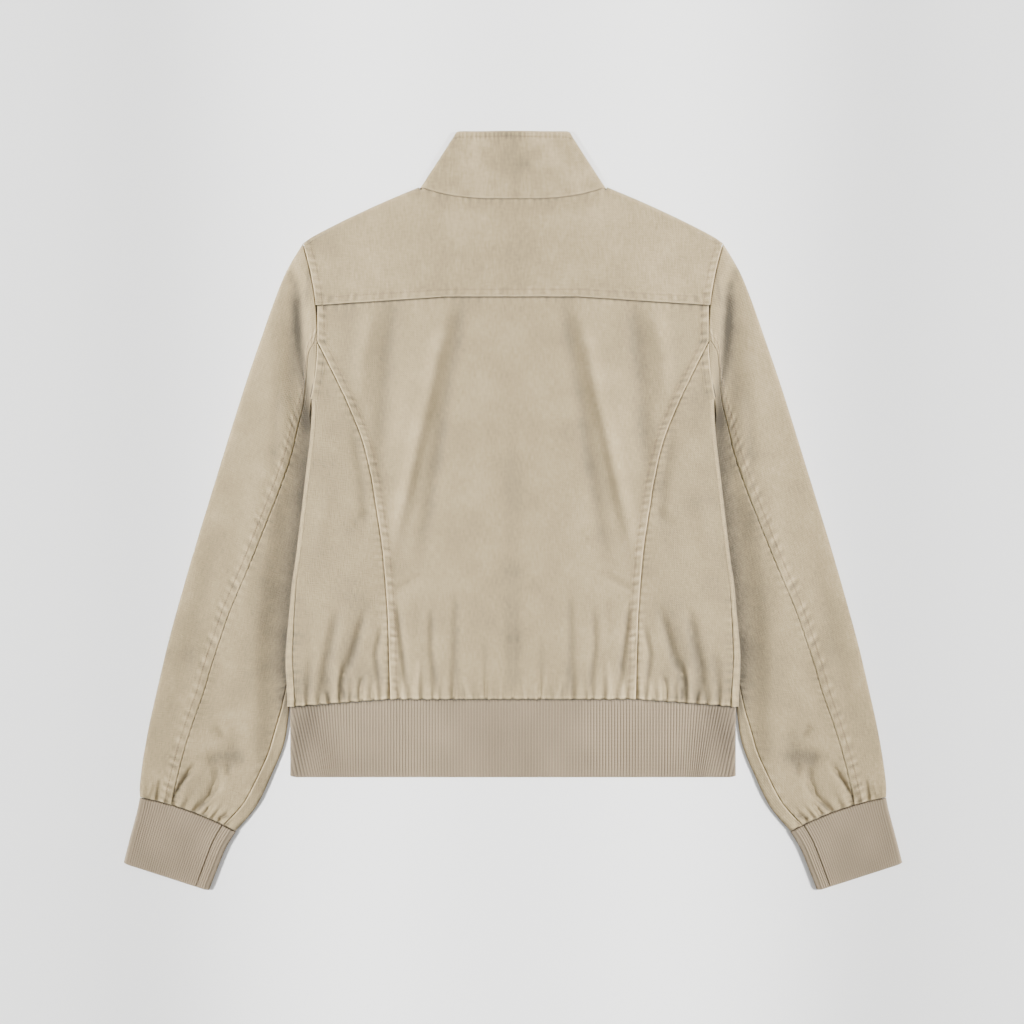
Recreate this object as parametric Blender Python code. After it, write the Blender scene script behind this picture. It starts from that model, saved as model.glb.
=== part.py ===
"""A cropped cotton utility jacket, zipped up and laid flat on its front, seen from its back.

The garment is a set of flattened tubes: a body, two sleeves, a stand collar and rib-knit bands
at the hem and the wrists. Every piece of cloth is a wall that starts as a grid, is laid on the
garment's inner face and is extruded to its outer face. +Y runs to the collar and +Z up from the
surface that the jacket lies on. The tables hold one half; the other is its mirror image.
"""

import math
from collections import namedtuple

import bmesh
import bpy
import numpy as np
from mathutils import Matrix

# Walls and seams, in metres.
CLOTH = 0.0012
KNIT = 0.0020
COLLAR_WALL = 0.0018
SEAM_GAP = 0.0003
WELT = 0.0006          # how far a lapped, topstitched edge stands above the cloth beside it
WELT_WIDTH = 0.0075
WELT_SLOPE = 0.0020
RIB_HEIGHT = 0.0005

# The side folds of the flattened tubes.
FOLD_WIDTH = 0.0026    # seen from above, from where the inner face leaves the level to its end
FOLD_ANGLES = (90, 55, 20, -20, -55, -90)

# Heights of the air between the two layers.
BODY_AIR = 0.0042
HEM_AIR_SHARE = 0.55   # of the body's air, at the hem seam
HEM_AIR_REACH = 0.030
SLEEVE_EDGE_AIR = 0.0016
SLEEVE_AIR = 0.0072
SLEEVE_END_SHARE = 0.45   # of the sleeve's air, at its two ends
SLEEVE_END_SECTIONS = 2.5
SLEEVE_ROUNDNESS = 0.7    # below 1, the sleeve is fuller towards its folds
HIDDEN_AIR = 0.0008    # in the part of a sleeve that lies under the body
KNIT_AIR = 0.0008
COLLAR_AIR = 0.0016
LEAST_AIR = 0.0005

# Body, from the photograph's half widths at heights above and below the middle of the jacket.
ARMPIT_Y = 0.1096
SIDE_HEAD = 0.1625     # where the side panel ends at the armhole
YOKE_SEAM_Y = 0.2076
YOKE_CORNER_X = 0.062
YOKE_END = (0.1896, 0.1993)
HEM_Y = -0.1828
HEM_CORNER_X = 0.119
HEM_END = (0.2180, -0.1903)
HEM_BAND_X = 0.2160
HEM_BAND_Y = -0.2580
NECK_X = 0.0902
NECK_Y = 0.3143
NECK_DIP = 0.0117
NECK_POWER = 3         # how flat the neck seams are in the middle
NECK_SHARE = 0.45      # of the yoke's half width, at the neck
NECK_END_INSET = 0.0008
YOKE_DEPTH = 0.085
FRONT_NECK_Y = 0.2550
COLLAR_TOP_X = 0.0558
COLLAR_TOP_Y = 0.3680
COLLAR_FRONT_DROP = 0.0015
YOKE_WING = (0.0675, 0.2245)   # where the yoke ends on the front: inner x, and y at the armhole
FRONT_NECK_XS = (0.0220, 0.0340, 0.0450, 0.0560, 0.0675, 0.0740, 0.0800)

BodyEdge = namedtuple("BodyEdge", "y fold_x seam_inset")
BODY_EDGE = (
    BodyEdge(-0.1903, 0.2183, 0.0078),
    BodyEdge(-0.1640, 0.2192, 0.0074),
    BodyEdge(-0.1330, 0.2202, 0.0070),
    BodyEdge(-0.0910, 0.2165, 0.0052),
    BodyEdge(-0.0640, 0.2140, 0.0046),
    BodyEdge(-0.0440, 0.2108, 0.0044),
    BodyEdge(0.0010, 0.2052, 0.0044),
    BodyEdge(0.0380, 0.2008, 0.0044),
    BodyEdge(0.0750, 0.1964, 0.0044),
    BodyEdge(0.0970, 0.1950, 0.0044),
    BodyEdge(0.1096, 0.1952, 0.0044),
)

SeamPoint = namedtuple("SeamPoint", "y x")
PRINCESS = (
    SeamPoint(-0.1830, 0.1190),
    SeamPoint(-0.1250, 0.1205),
    SeamPoint(-0.0910, 0.1220),
    SeamPoint(-0.0360, 0.1265),
    SeamPoint(0.0010, 0.1320),
    SeamPoint(0.0350, 0.1375),
    SeamPoint(0.0710, 0.1465),
    SeamPoint(0.1050, 0.1600),
    SeamPoint(0.1270, 0.1705),
    SeamPoint(0.1650, 0.1896),
)
SHOULDER = ((0.0912, 0.3138), (0.1200, 0.3017), (0.1460, 0.2900), (0.1702, 0.2784),
            (0.1925, 0.2668), (0.2037, 0.2595))

# A sleeve's sections from the armhole to the cuff: its outer fold, the topstitched back seam
# and the inner fold, part of which lies under the body.
Section = namedtuple("Section", "outer_x outer_y seam_x seam_y inner_x inner_y")
SLEEVE = (
    Section(0.2037, 0.2595, 0.1896, 0.1668, 0.1956, 0.1101),
    Section(0.2202, 0.2318, 0.1979, 0.1533, 0.1968, 0.0970),
    Section(0.2328, 0.2008, 0.2003, 0.1290, 0.1972, 0.0844),
    Section(0.2449, 0.1659, 0.2032, 0.1038, 0.1921, 0.0631),
    Section(0.2580, 0.1271, 0.2086, 0.0805, 0.1775, 0.0398),
    Section(0.2697, 0.0902, 0.2149, 0.0534, 0.1659, 0.0165),
    Section(0.2823, 0.0495, 0.2255, 0.0223, 0.1591, -0.0107),
    Section(0.2949, 0.0087, 0.2372, -0.0078, 0.1571, -0.0398),
    Section(0.3085, -0.0359, 0.2551, -0.0524, 0.1659, -0.0805),
    Section(0.3220, -0.0825, 0.2741, -0.0970, 0.1853, -0.1193),
    Section(0.3347, -0.1290, 0.2897, -0.1426, 0.2050, -0.1420),
    Section(0.3448, -0.1717, 0.2995, -0.1756, 0.2142, -0.1660),
    Section(0.3526, -0.2066, 0.3104, -0.2066, 0.2176, -0.1989),
    Section(0.3579, -0.2357, 0.3191, -0.2347, 0.2221, -0.2260),
    Section(0.3608, -0.2561, 0.3248, -0.2571, 0.2338, -0.2551),
    Section(0.3620, -0.2687, 0.3283, -0.2716, 0.2488, -0.2862),
    Section(0.3618, -0.2774, 0.3308, -0.2848, 0.2689, -0.3104),
)
UNDERARM_TOP_INSET = 0.0046   # from the inner fold to the underarm seam, on the upper layer
UNDERARM_INSET = 0.0125       # the same near the cuff
UNDERARM_TURN = (10.9, 12.9)  # the sections between which one goes over into the other
FIRST_HIDDEN, LAST_HIDDEN = 2, 11.4   # the sections whose inner fold is under the body

CuffEdge = namedtuple("CuffEdge", "outer_x outer_y inner_x inner_y")
CUFF = (
    CuffEdge(0.3619, -0.2780, 0.2688, -0.3110),
    CuffEdge(0.3647, -0.2920, 0.2784, -0.3269),
    CuffEdge(0.3715, -0.3172, 0.2871, -0.3482),
    CuffEdge(0.3777, -0.3415, 0.2949, -0.3682),
)

# Large folds of the back and the dips in a sleeve: a path, its half width and its depth.
Crease = namedtuple("Crease", "path half_width depth")
BACK_CREASES = (
    Crease(((0.063, 0.190), (0.071, 0.143), (0.078, 0.107), (0.097, 0.049), (0.1096, -0.001),
            (0.112, -0.030)), 0.0085, 0.0032),
    Crease(((0.046, 0.187), (0.057, 0.125), (0.066, 0.090), (0.083, 0.035), (0.089, -0.020)),
           0.0100, -0.0014),
    Crease(((0.121, 0.190), (0.134, 0.150), (0.1365, 0.098), (0.133, 0.059), (0.130, 0.010)),
           0.0090, 0.0022),
    Crease(((0.103, 0.170), (0.113, 0.110), (0.117, 0.060)), 0.0090, -0.0012),
    Crease(((0.165, 0.130), (0.158, 0.080)), 0.0110, 0.0010),
    Crease(((0.115, -0.076), (0.088, -0.062)), 0.0060, -0.0008),
    Crease(((0.155, -0.014), (0.134, 0.002)), 0.0060, -0.0008),
)
HEM_CREASES = (
    Crease(((0.178, -0.133), (0.178, -0.186)), 0.0040, -0.0012),
    Crease(((0.154, -0.138), (0.166, -0.162), (0.164, -0.184)), 0.0045, -0.0014),
    Crease(((0.134, -0.139), (0.129, -0.160)), 0.0040, -0.0009),
    Crease(((0.106, -0.139), (0.104, -0.180)), 0.0040, -0.0012),
    Crease(((0.079, -0.125), (0.077, -0.180)), 0.0045, -0.0012),
    Crease(((0.056, -0.117), (0.053, -0.179)), 0.0040, -0.0008),
    Crease(((0.047, -0.160), (0.043, -0.182)), 0.0040, 0.0009),
    Crease(((0.004, -0.125), (0.002, -0.179)), 0.0040, -0.0010),
)
SLEEVE_CREASES = (
    Crease(((0.300, -0.110), (0.285, -0.150), (0.300, -0.200)), 0.0120, -0.0010),
    Crease(((0.290, -0.246), (0.262, -0.243)), 0.0090, -0.0022),
    Crease(((0.311, -0.251), (0.322, -0.265), (0.329, -0.280)), 0.0040, -0.0012),
    Crease(((0.288, -0.270), (0.298, -0.282), (0.308, -0.291)), 0.0045, -0.0013),
    Crease(((0.345, -0.060), (0.352, -0.200)), 0.0100, -0.0008),
)
VALLEY = ((0.2105, 0.2192), (0.2090, 0.1756), (0.2061, 0.1319), (0.1998, 0.1077))
VALLEY_AIR = 0.0006
VALLEY_START = 0.004
VALLEY_REACH = 0.032
VALLEY_BODY_REACH = 0.015
VALLEY_BLEND = 0.010

# Gathers above the hem band and the cuffs, as waves across a panel.
CENTRE_GATHERS = 19
SIDE_GATHERS = 8
CUFF_GATHERS = 8
GATHER_HEIGHT = 0.0008
GATHER_LENGTH = 0.042
CUFF_GATHER_LENGTH = 0.030
GATHER_FOOT = 0.004    # the gathers have their full height this far from the band
HEM_RIBS = 150
CUFF_RIBS = 36
CUFF_JOIN = 0.89       # how far across the upper layer a cuff's two ends meet

# The body's front layer climbs over the hidden part of each sleeve.
HIDDEN_TOP = 2 * CLOTH + HIDDEN_AIR + 2 * SEAM_GAP
FLOOR_RAMP = (0.022, 0.009)
BACK_RAMP = (0.055, 0.009)

# Closure: a zip from the hem's edge to the collar's top, its slider at the top.
TAPE_X = 0.0100
TAPE_SPLIT = 0.0004
SLIDER_Y = 0.3520
SLIDER_WIDTH = 0.0086
SLIDER_LENGTH = 0.0110
PLATE = 0.0009
POST_WIDTH = 0.0022
PIN_RADIUS = 0.00038
PIN_Z = 0.0014
EYE_RADIUS = 0.00115
EYE_BORE = 0.00070
EYE_WIDTH = 0.0030
LUG_WIDTH = 0.0008
PULL_WIDTH = 0.0064
PULL_LENGTH = 0.0260
PULL_THICK = 0.0011
PLATE_CLEAR = 0.00035
SLIDER_RISE = PIN_Z + EYE_RADIUS + PLATE_CLEAR + PLATE + PLATE_CLEAR
INNER_PLATE_SHARE = 0.8   # the inner plate's length below the pin, of the outer plate's
POST_START = 0.0010
POST_SHARE = 0.9
LUG_SHARE = 0.8
NECK_LENGTH = 0.0030
NECK_LAP = 0.0010
RISE_HALF_WIDTH = 0.034
RISE_FLAT = 0.0060

Rise = namedtuple("Rise", "y share")
ZIP_RISE = (
    Rise(0.255, 0.0),
    Rise(0.290, 0.25),
    Rise(0.318, 0.62),
    Rise(0.338, 1.0),
    Rise(0.362, 1.0),
    Rise(0.368, 0.96),
)

# Stations: rows of the grids from the hem up and along the sleeves, and shares across them.
BACK_ROWS = (-0.1825, -0.176, -0.167, -0.155, -0.140, -0.120, -0.092, -0.062, -0.030, 0.001, 0.032,
             0.058, 0.076, 0.092, 0.1095, 0.125, 0.142, SIDE_HEAD, 0.182, 0.1990)
SLEEVE_ROWS = (0.012, 0.5, 1, 1.5, 2, 2.5, 3, 4, 5, 6, 7, 8, 9, 10, 11, 12, 13, 14, 14.6, 15.2, 15.6, 16)
TAPE_ROWS = (HEM_BAND_Y, 0.0, 0.255, 0.272, 0.290, 0.304, 0.318, 0.328, 0.338, SLIDER_Y - 0.004, SLIDER_Y,
             0.362, COLLAR_TOP_Y - COLLAR_FRONT_DROP)
FRONT_HEAD_ROW = 0.205
CENTRE_HALF = 0.12     # the centre panel's mean half width, which spaces its edge stations
YOKE_ROWS = (0.0, 0.0001 + WELT_WIDTH / YOKE_DEPTH, (WELT_WIDTH + WELT_SLOPE) / YOKE_DEPTH, 0.35, 0.6, 0.82)
YOKE_SHARES = (0.12, 0.24, 0.35, NECK_SHARE, 0.56, 0.67, 0.78, 0.89, 1.0)
UPPER_SHARES = (1.0, 0.86, 0.81, 0.66, 0.52, 0.38, 0.22, 0.08)
FLOOR_SHARES = (0.25, 0.5, 0.75)
COLLAR_ROWS = (0.0, 0.2, 0.4, 0.6, 0.8, 0.95, 1.0)
COLLAR_BACK_STATIONS = 15
UNDER_STATIONS = 11

# Colours, as linear RGB.
TWILL_COLOUR = (0.503, 0.430, 0.337)
KNIT_COLOUR = (0.423, 0.365, 0.292)
BRASS_COLOUR = (0.42, 0.31, 0.16)

COLLECTION = "utility_jacket"


def smooth(value, low, high):
    """0 at low, 1 at high and an even S between them; low may be the greater."""
    share = min(max((value - low) / (high - low), 0.0), 1.0)
    return share * share * (3 - 2 * share)


def spline(rows, place):
    """A smooth run through the rows of a table, where place 2.5 is halfway from row 2 to row 3."""
    rows = np.asarray(rows)
    last = len(rows) - 1
    start = min(int(place), last - 1)
    share = place - start
    before, here = rows[max(start - 1, 0)], rows[start]
    after, beyond = rows[start + 1], rows[min(start + 2, last)]
    return here + 0.5 * share * (
        after - before
        + share * (2 * before - 5 * here + 4 * after - beyond)
        + share * share * (3 * here - before - 3 * after + beyond)
    )


def spline_points(rows, steps=6):
    """The spline through a table, as a list of points."""
    places = np.linspace(0, len(rows) - 1, steps * (len(rows) - 1) + 1)
    return np.array([spline(rows, place) for place in places])


def distance(path, x, y):
    """How far a point is from a path, and how far along the path its nearest point is, 0 to 1."""
    path = np.asarray(path)
    starts, steps = path[:-1], np.diff(path, axis=0)
    lengths = np.hypot(*steps.T)
    shares = np.clip(((np.array((x, y)) - starts) * steps).sum(axis=1) / lengths**2, 0, 1)
    gaps = np.hypot(*(starts + steps * shares[:, None] - (x, y)).T)
    nearest = int(np.argmin(gaps))
    return gaps[nearest], (lengths[:nearest].sum() + shares[nearest] * lengths[nearest]) / lengths.sum()


def creased(creases, x, y):
    """The height that a table's creases add at a point; each fades towards its ends."""
    height = 0.0
    for crease in creases:
        gap, along = distance(crease.path, x, y)
        ends = smooth(along, -0.12, 0.2) * smooth(along, 1.12, 0.7)
        height += crease.depth * ends * math.exp(-((gap / crease.half_width) ** 2))
    return height


# The seam lines, seen from above.

def hem_y(x):
    return np.interp(abs(x), (HEM_CORNER_X, HEM_END[0]), (HEM_Y, HEM_END[1]))


def yoke_y(x):
    return np.interp(abs(x), (YOKE_CORNER_X, YOKE_END[0]), (YOKE_SEAM_Y, YOKE_END[1]))


def neck_y(x):
    return NECK_Y - NECK_DIP * (1 - (abs(x) / NECK_X) ** NECK_POWER)


def front_neck_y(x):
    return FRONT_NECK_Y + (NECK_Y - FRONT_NECK_Y) * (abs(x) / NECK_X) ** NECK_POWER


BODY_CURVE = spline_points(BODY_EDGE)
PRINCESS_CURVE = spline_points(PRINCESS)


def body_x(y):
    return np.interp(y, BODY_CURVE[:, 0], BODY_CURVE[:, 1])


def side_seam_x(y):
    return body_x(y) - np.interp(y, BODY_CURVE[:, 0], BODY_CURVE[:, 2])


def princess_x(y):
    return np.interp(y, PRINCESS_CURVE[:, 0], PRINCESS_CURVE[:, 1])


def sleeve_plan(place, share):
    """A point of a sleeve seen from above: place counts sections, share runs from outer to inner."""
    outer, seam, inner = spline(SLEEVE, place).reshape(3, 2)
    split = seam_share(place)
    return (
        outer * (share - split) * (share - 1) / split
        + seam * share * (share - 1) / (split * (split - 1))
        + inner * share * (share - split) / (1 - split)
    )


def seam_share(place):
    """How far across a sleeve its back seam runs."""
    outer, seam, inner = spline(SLEEVE, place).reshape(3, 2)
    before, after = math.dist(outer, seam), math.dist(seam, inner)
    return before / (before + after)


def sleeve_width(place):
    section = spline(SLEEVE, place)
    return math.dist(section[:2], section[4:])


ARMHOLE_CURVE = np.array([sleeve_plan(0, share) for share in np.linspace(1, 0, 41)])


def armhole_x(y):
    return np.interp(y, ARMHOLE_CURVE[:, 1], ARMHOLE_CURVE[:, 0])


HIDDEN_FOLD = np.array([spline(SLEEVE, place)[4:] for place in np.arange(FIRST_HIDDEN, LAST_HIDDEN, 0.25)])
HIDDEN_XS = HIDDEN_FOLD[::-1, 0]
HIDDEN_YS = HIDDEN_FOLD[::-1, 1]


# Heights of the inner faces of the body's two layers.

def over_sleeve(x, y, ramp):
    """1 where the body lies on a hidden sleeve, falling to 0 across the ramp beside it."""
    x = abs(x)
    if HIDDEN_YS[0] < y < HIDDEN_YS[-1] and x > np.interp(y, HIDDEN_YS, HIDDEN_XS):
        return 1.0
    return smooth(distance(HIDDEN_FOLD, x, y)[0], *ramp)


def zip_rise(x, y):
    """How far the slider and its pull, under the front, lift the cloth there."""
    ys, shares = zip(*ZIP_RISE)
    return SLIDER_RISE * np.interp(y, ys, shares) * smooth(abs(x), RISE_HALF_WIDTH, RISE_FLAT)


def front_z(x, y):
    """The inner face of the layer that lies on the surface."""
    return CLOTH + HIDDEN_TOP * over_sleeve(x, y, FLOOR_RAMP) + zip_rise(x, y)


def back_z(x, y, gathers=0.0):
    """The inner face of the layer that is seen."""
    x = abs(x)
    hem = smooth(y - hem_y(x), 0.0, HEM_AIR_REACH)
    air = BODY_AIR * (HEM_AIR_SHARE + (1 - HEM_AIR_SHARE) * hem)
    air += creased(BACK_CREASES, x, y) + creased(HEM_CREASES, x, y)
    air += gathers * GATHER_HEIGHT * smooth(y - hem_y(x), GATHER_LENGTH, GATHER_FOOT)
    rise = max(HIDDEN_TOP * over_sleeve(x, y, BACK_RAMP), zip_rise(x, y))
    return CLOTH + rise + max(air, LEAST_AIR)


def welt(gap):
    """The extra thickness of a lapped edge, from the distance to its seam."""
    return WELT * smooth(gap, WELT_WIDTH + WELT_SLOPE, WELT_WIDTH)


def fold_plan(angle, wall):
    """Where an inner face in a side fold is, inward from the fold, and which way it faces outward."""
    turn = math.radians(angle)
    return wall + FOLD_WIDTH * (1 - math.cos(turn)), math.cos(turn), math.sin(turn)


def wall_at(plan, out, across, up, top, bottom, wall):
    """A tube's inner and outer point. across and up turn from level to upright through a fold."""
    middle = (top + bottom) / 2
    reach = top - middle
    height = middle + up * reach
    inner = (plan[0], plan[1], height)
    outer = (
        plan[0] + out[0] * across * wall,
        plan[1] + out[1] * across * wall,
        height + up * wall,
    )
    return inner, outer


# Blender objects.

def material(name, colour, roughness, metallic=0.0):
    made = bpy.data.materials.new(name)
    made.use_nodes = True
    shader = made.node_tree.nodes["Principled BSDF"]
    shader.inputs["Base Color"].default_value = (*colour, 1.0)
    shader.inputs["Roughness"].default_value = roughness
    shader.inputs["Metallic"].default_value = metallic
    return made


def twill(name):
    return material(f"{name}_cotton_twill", TWILL_COLOUR, 0.9)


def knit(name):
    return material(f"{name}_rib_knit", KNIT_COLOUR, 0.95)


def brass(name):
    return material(f"{name}_antique_brass", BRASS_COLOUR, 0.35, 1.0)


def keep_object(name, mesh, finish):
    mesh.materials.append(finish)
    made = bpy.data.objects.new(name, mesh)
    bpy.data.collections[COLLECTION].objects.link(made)
    return made


def panel(name, rows, columns, surface, finish, kept=None):
    """A wall of cloth: a grid on the inner face, extruded to the outer face.

    surface(row, column) gives both points; kept(row, column) leaves stations out of the grid.
    """
    bm = bmesh.new()
    bmesh.ops.create_grid(bm, x_segments=len(columns) - 1, y_segments=len(rows) - 1, size=1.0)
    row_layer = bm.verts.layers.int.new("row")
    column_layer = bm.verts.layers.int.new("column")
    for vert in bm.verts:
        vert[row_layer] = round((vert.co.y + 1) / 2 * (len(rows) - 1))
        vert[column_layer] = round((vert.co.x + 1) / 2 * (len(columns) - 1))
    if kept:
        left_out = [v for v in bm.verts if not kept(rows[v[row_layer]], columns[v[column_layer]])]
        bmesh.ops.delete(bm, geom=left_out, context="VERTS")
    skin = bmesh.ops.extrude_face_region(bm, geom=bm.faces[:], use_keep_orig=True)
    outer_verts = {item for item in skin["geom"] if isinstance(item, bmesh.types.BMVert)}
    for vert in bm.verts:
        inner, outer = surface(rows[vert[row_layer]], columns[vert[column_layer]])
        vert.co = outer if vert in outer_verts else inner
    bmesh.ops.recalc_face_normals(bm, faces=bm.faces)
    mesh = bpy.data.meshes.new(name)
    bm.to_mesh(mesh)
    bm.free()
    return keep_object(name, mesh, finish)


# Body pieces.

def row_y(level, x):
    """A row of the body bends with the hem at its foot and is level at its head."""
    climb = min((level - BACK_ROWS[0]) / (BACK_ROWS[-1] - BACK_ROWS[0]), 1.0)
    return level + (hem_y(x) - HEM_Y) * (1 - climb)


def centre_edge_x(level):
    return min(princess_x(level), armhole_x(level)) - SEAM_GAP / 2


def back_centre_surface(level, share):
    edge = centre_edge_x(level)
    x = share * edge
    y = row_y(level, x) + (yoke_y(x) - YOKE_END[1]) * smooth(level, ARMPIT_Y, BACK_ROWS[-1])
    bottom = back_z(x, y, math.cos(math.pi * CENTRE_GATHERS * share))
    return (x, y, bottom), (x, y, bottom + CLOTH + welt(edge - abs(x)))


def make_back_centre():
    steps = np.arange(1, CENTRE_GATHERS) / CENTRE_GATHERS
    half = (*steps[:-1], 1 - (WELT_WIDTH + WELT_SLOPE) / CENTRE_HALF, 1 - WELT_WIDTH / CENTRE_HALF, 1.0)
    columns = [-share for share in reversed(half)] + [0.0] + list(half)
    panel("back_centre", BACK_ROWS, columns, back_centre_surface, twill("back_centre"))


def make_back_side(name, side):
    rows = [level for level in BACK_ROWS if level <= SIDE_HEAD]

    def surface(level, share):
        near = princess_x(level) + SEAM_GAP / 2
        far = side_seam_x(level) if level < ARMPIT_Y else armhole_x(level)
        x = near + (far - SEAM_GAP / 2 - near) * share
        y = row_y(level, x)
        bottom = back_z(x, y, math.cos(math.pi * 2 * SIDE_GATHERS * share))
        return (side * x, y, bottom), (side * x, y, bottom + CLOTH)

    columns = np.linspace(0, 1, 2 * SIDE_GATHERS + 1)
    panel(name, rows, columns, surface, twill(name))


def make_front(name, side):
    """A front lies on the surface from the zip to the side fold and wraps up to the side seam."""
    wing_x, wing_y = YOKE_WING
    edge_top = armhole_x(wing_y)
    levels = [*BACK_ROWS[:-1], FRONT_HEAD_ROW, wing_y]
    start = TAPE_X + SEAM_GAP
    flat = [("neck", x) for x in (start, *FRONT_NECK_XS[:5])]
    flat += [("flat", 0.35), ("ramp", -FLOOR_RAMP[0]), ("ramp", -FLOOR_RAMP[1]), ("flat", 1.0)]

    def top_y(x):
        slope = (front_neck_y(wing_x) - wing_y) / (edge_top - wing_x)
        return front_neck_y(x) if x < wing_x else wing_y + slope * (edge_top - x)

    def surface(level, station):
        kind, value = station
        fold = body_x(level)
        inset, across, up = fold_plan(value if kind == "fold" else -90, CLOTH)
        end = fold - inset if level <= ARMPIT_Y else armhole_x(level) - SEAM_GAP
        ramp_x = min(np.interp(level, HIDDEN_YS, HIDDEN_XS), end + 0.004)
        if kind == "neck":
            x = value
        elif kind == "flat":
            x = wing_x + (end - wing_x) * value
        elif kind == "ramp":
            x = ramp_x + value
        elif kind == "fold":
            x = fold - inset
        else:
            x = side_seam_x(level) + SEAM_GAP / 2
            across, up = 0.0, 1.0
        y = row_y(level, x) + (top_y(x) - wing_y - SEAM_GAP) * smooth(level, ARMPIT_Y, wing_y)
        inner, outer = wall_at((x, y), (1, 0), across, up, back_z(x, y), front_z(x, y), CLOTH)
        return (side * inner[0], *inner[1:]), (side * outer[0], *outer[1:])

    columns = flat + [("fold", angle) for angle in reversed(FOLD_ANGLES[:-1])] + [("seam", 0)]
    panel(name, levels, columns, surface, twill(name),
          lambda level, station: level < ARMPIT_Y or station[0] not in ("fold", "seam"))


def make_yoke():
    """The yoke covers the shoulders: it folds over them and ends a little way down the front."""
    wing_x, wing_y = YOKE_WING
    slope = np.subtract(SHOULDER[-1], SHOULDER[0])
    away = np.array((-slope[1], slope[0])) / np.hypot(*slope)
    level_inset = fold_plan(90, CLOTH)[0]
    rows = [("back", share) for share in YOKE_ROWS]
    rows += [("fold", angle) for angle in FOLD_ANGLES]
    rows += [("wing", 0.5), ("wing", 1.0)]

    def head(share):
        """The top of a column: on the neck seam or where the shoulder fold begins."""
        if share < NECK_SHARE:
            x = (NECK_X - NECK_END_INSET) * share / NECK_SHARE
            return np.array((x, neck_y(x) - SEAM_GAP))
        along = (share - NECK_SHARE) / (1 - NECK_SHARE) * (len(SHOULDER) - 1)
        on_fold = spline(SHOULDER, along)
        return on_fold - away * level_inset - np.array((SEAM_GAP, 0)) * smooth(share, 0.9, 1)

    def foot(share):
        x = share * (YOKE_END[0] - SEAM_GAP / 2)
        return np.array((x, yoke_y(x) + SEAM_GAP))

    def wing_end(share):
        along = (share - NECK_SHARE) / (1 - NECK_SHARE)
        x = wing_x + SEAM_GAP + (armhole_x(wing_y) - 2 * SEAM_GAP - wing_x) * along
        return np.array((x, front_neck_y(wing_x) + (wing_y - front_neck_y(wing_x)) * along))

    def surface(row, share):
        kind, value = row
        side, share = math.copysign(1, share), abs(share)
        top, bottom = head(share), foot(share)
        across, up = 0.0, 1.0
        lap = 0.0
        if kind == "back":
            plan = bottom + (top - bottom) * value
            straight_x = foot(1)[0] + (head(1)[0] - foot(1)[0]) * value
            plan[0] += (armhole_x(plan[1]) - SEAM_GAP / 2 - straight_x) * share**6
            lap = welt(plan[1] - bottom[1])
        elif kind == "fold":
            inset, across, up = fold_plan(value, CLOTH)
            plan = top + away * (level_inset - inset)
        else:
            plan = top + (wing_end(share) - top) * value
            plan[1] = min(plan[1], front_neck_y(plan[0]) - 2 * SEAM_GAP)
            up = -1.0
        inner, outer = wall_at(plan, away, across, up, back_z(*plan), front_z(*plan), CLOTH)
        return (side * inner[0], *inner[1:]), (side * outer[0], outer[1], outer[2] + lap)

    columns = [-share for share in reversed(YOKE_SHARES)] + [0.0, *YOKE_SHARES]
    panel("back_yoke", rows, columns, surface, twill("back_yoke"),
          lambda row, share: row[0] == "back" or row == ("fold", 90) or abs(share) >= NECK_SHARE)


# Sleeves.

def sleeve_top_z(place, share, gathers=0.0):
    """The inner face of a sleeve's upper layer."""
    x, y = sleeve_plan(place, share)
    dome = math.sin(math.pi * min(max(share, 0.0), 1.0)) ** SLEEVE_ROUNDNESS
    last = len(SLEEVE) - 1
    fullness = smooth(place, 0, SLEEVE_END_SECTIONS) * smooth(place, last, last - SLEEVE_END_SECTIONS)
    fullest = SLEEVE_AIR * (SLEEVE_END_SHARE + (1 - SLEEVE_END_SHARE) * fullness)
    air = SLEEVE_EDGE_AIR + (fullest - SLEEVE_EDGE_AIR) * dome
    air += creased(SLEEVE_CREASES, x, y)
    to_cuff = math.dist((x, y), sleeve_plan(last, share))
    air += gathers * GATHER_HEIGHT * smooth(to_cuff, CUFF_GATHER_LENGTH, GATHER_FOOT)
    if y < VALLEY[-1][1]:
        air = HIDDEN_AIR + (air - HIDDEN_AIR) * smooth(x - body_x(y), VALLEY_START, VALLEY_REACH)
    else:
        gap = distance(VALLEY, x, y)[0]
        line_xs, line_ys = zip(*VALLEY[::-1])
        beside_body = smooth(x - np.interp(y, line_ys, line_xs), VALLEY_BLEND, -VALLEY_BLEND)
        air += (back_z(x, y) - CLOTH - air) * beside_body
        reach = VALLEY_REACH + (VALLEY_BODY_REACH - VALLEY_REACH) * beside_body
        air = VALLEY_AIR + (air - VALLEY_AIR) * smooth(gap, 0.0, reach)
    return CLOTH + max(air, LEAST_AIR)


def sleeve_point(place, share, out, across, up, wave, lap, side):
    """A point in a sleeve's wall, at a share of the way from its outer to its inner fold."""
    top = sleeve_top_z(place, share, wave)
    inner, outer = wall_at(sleeve_plan(place, share), out, across, up, top, CLOTH, CLOTH)
    return (side * inner[0], *inner[1:]), (side * outer[0], outer[1], outer[2] + lap)


def underarm_share(place):
    inset = UNDERARM_TOP_INSET + (UNDERARM_INSET - UNDERARM_TOP_INSET) * smooth(place, *UNDERARM_TURN)
    return 1 - inset / sleeve_width(place)


def make_sleeve_under(name, side):
    def surface(place, value):
        gap = SEAM_GAP / 2 / sleeve_width(place)
        near, far = seam_share(place) + gap, underarm_share(place) - gap
        share = near + (far - near) * value
        wave = math.cos(2 * math.pi * CUFF_GATHERS * share)
        return sleeve_point(place, share, (0, 0), 0.0, 1.0, wave, 0.0, side)

    panel(name, SLEEVE_ROWS, np.linspace(0, 1, UNDER_STATIONS), surface, twill(name))


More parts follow.
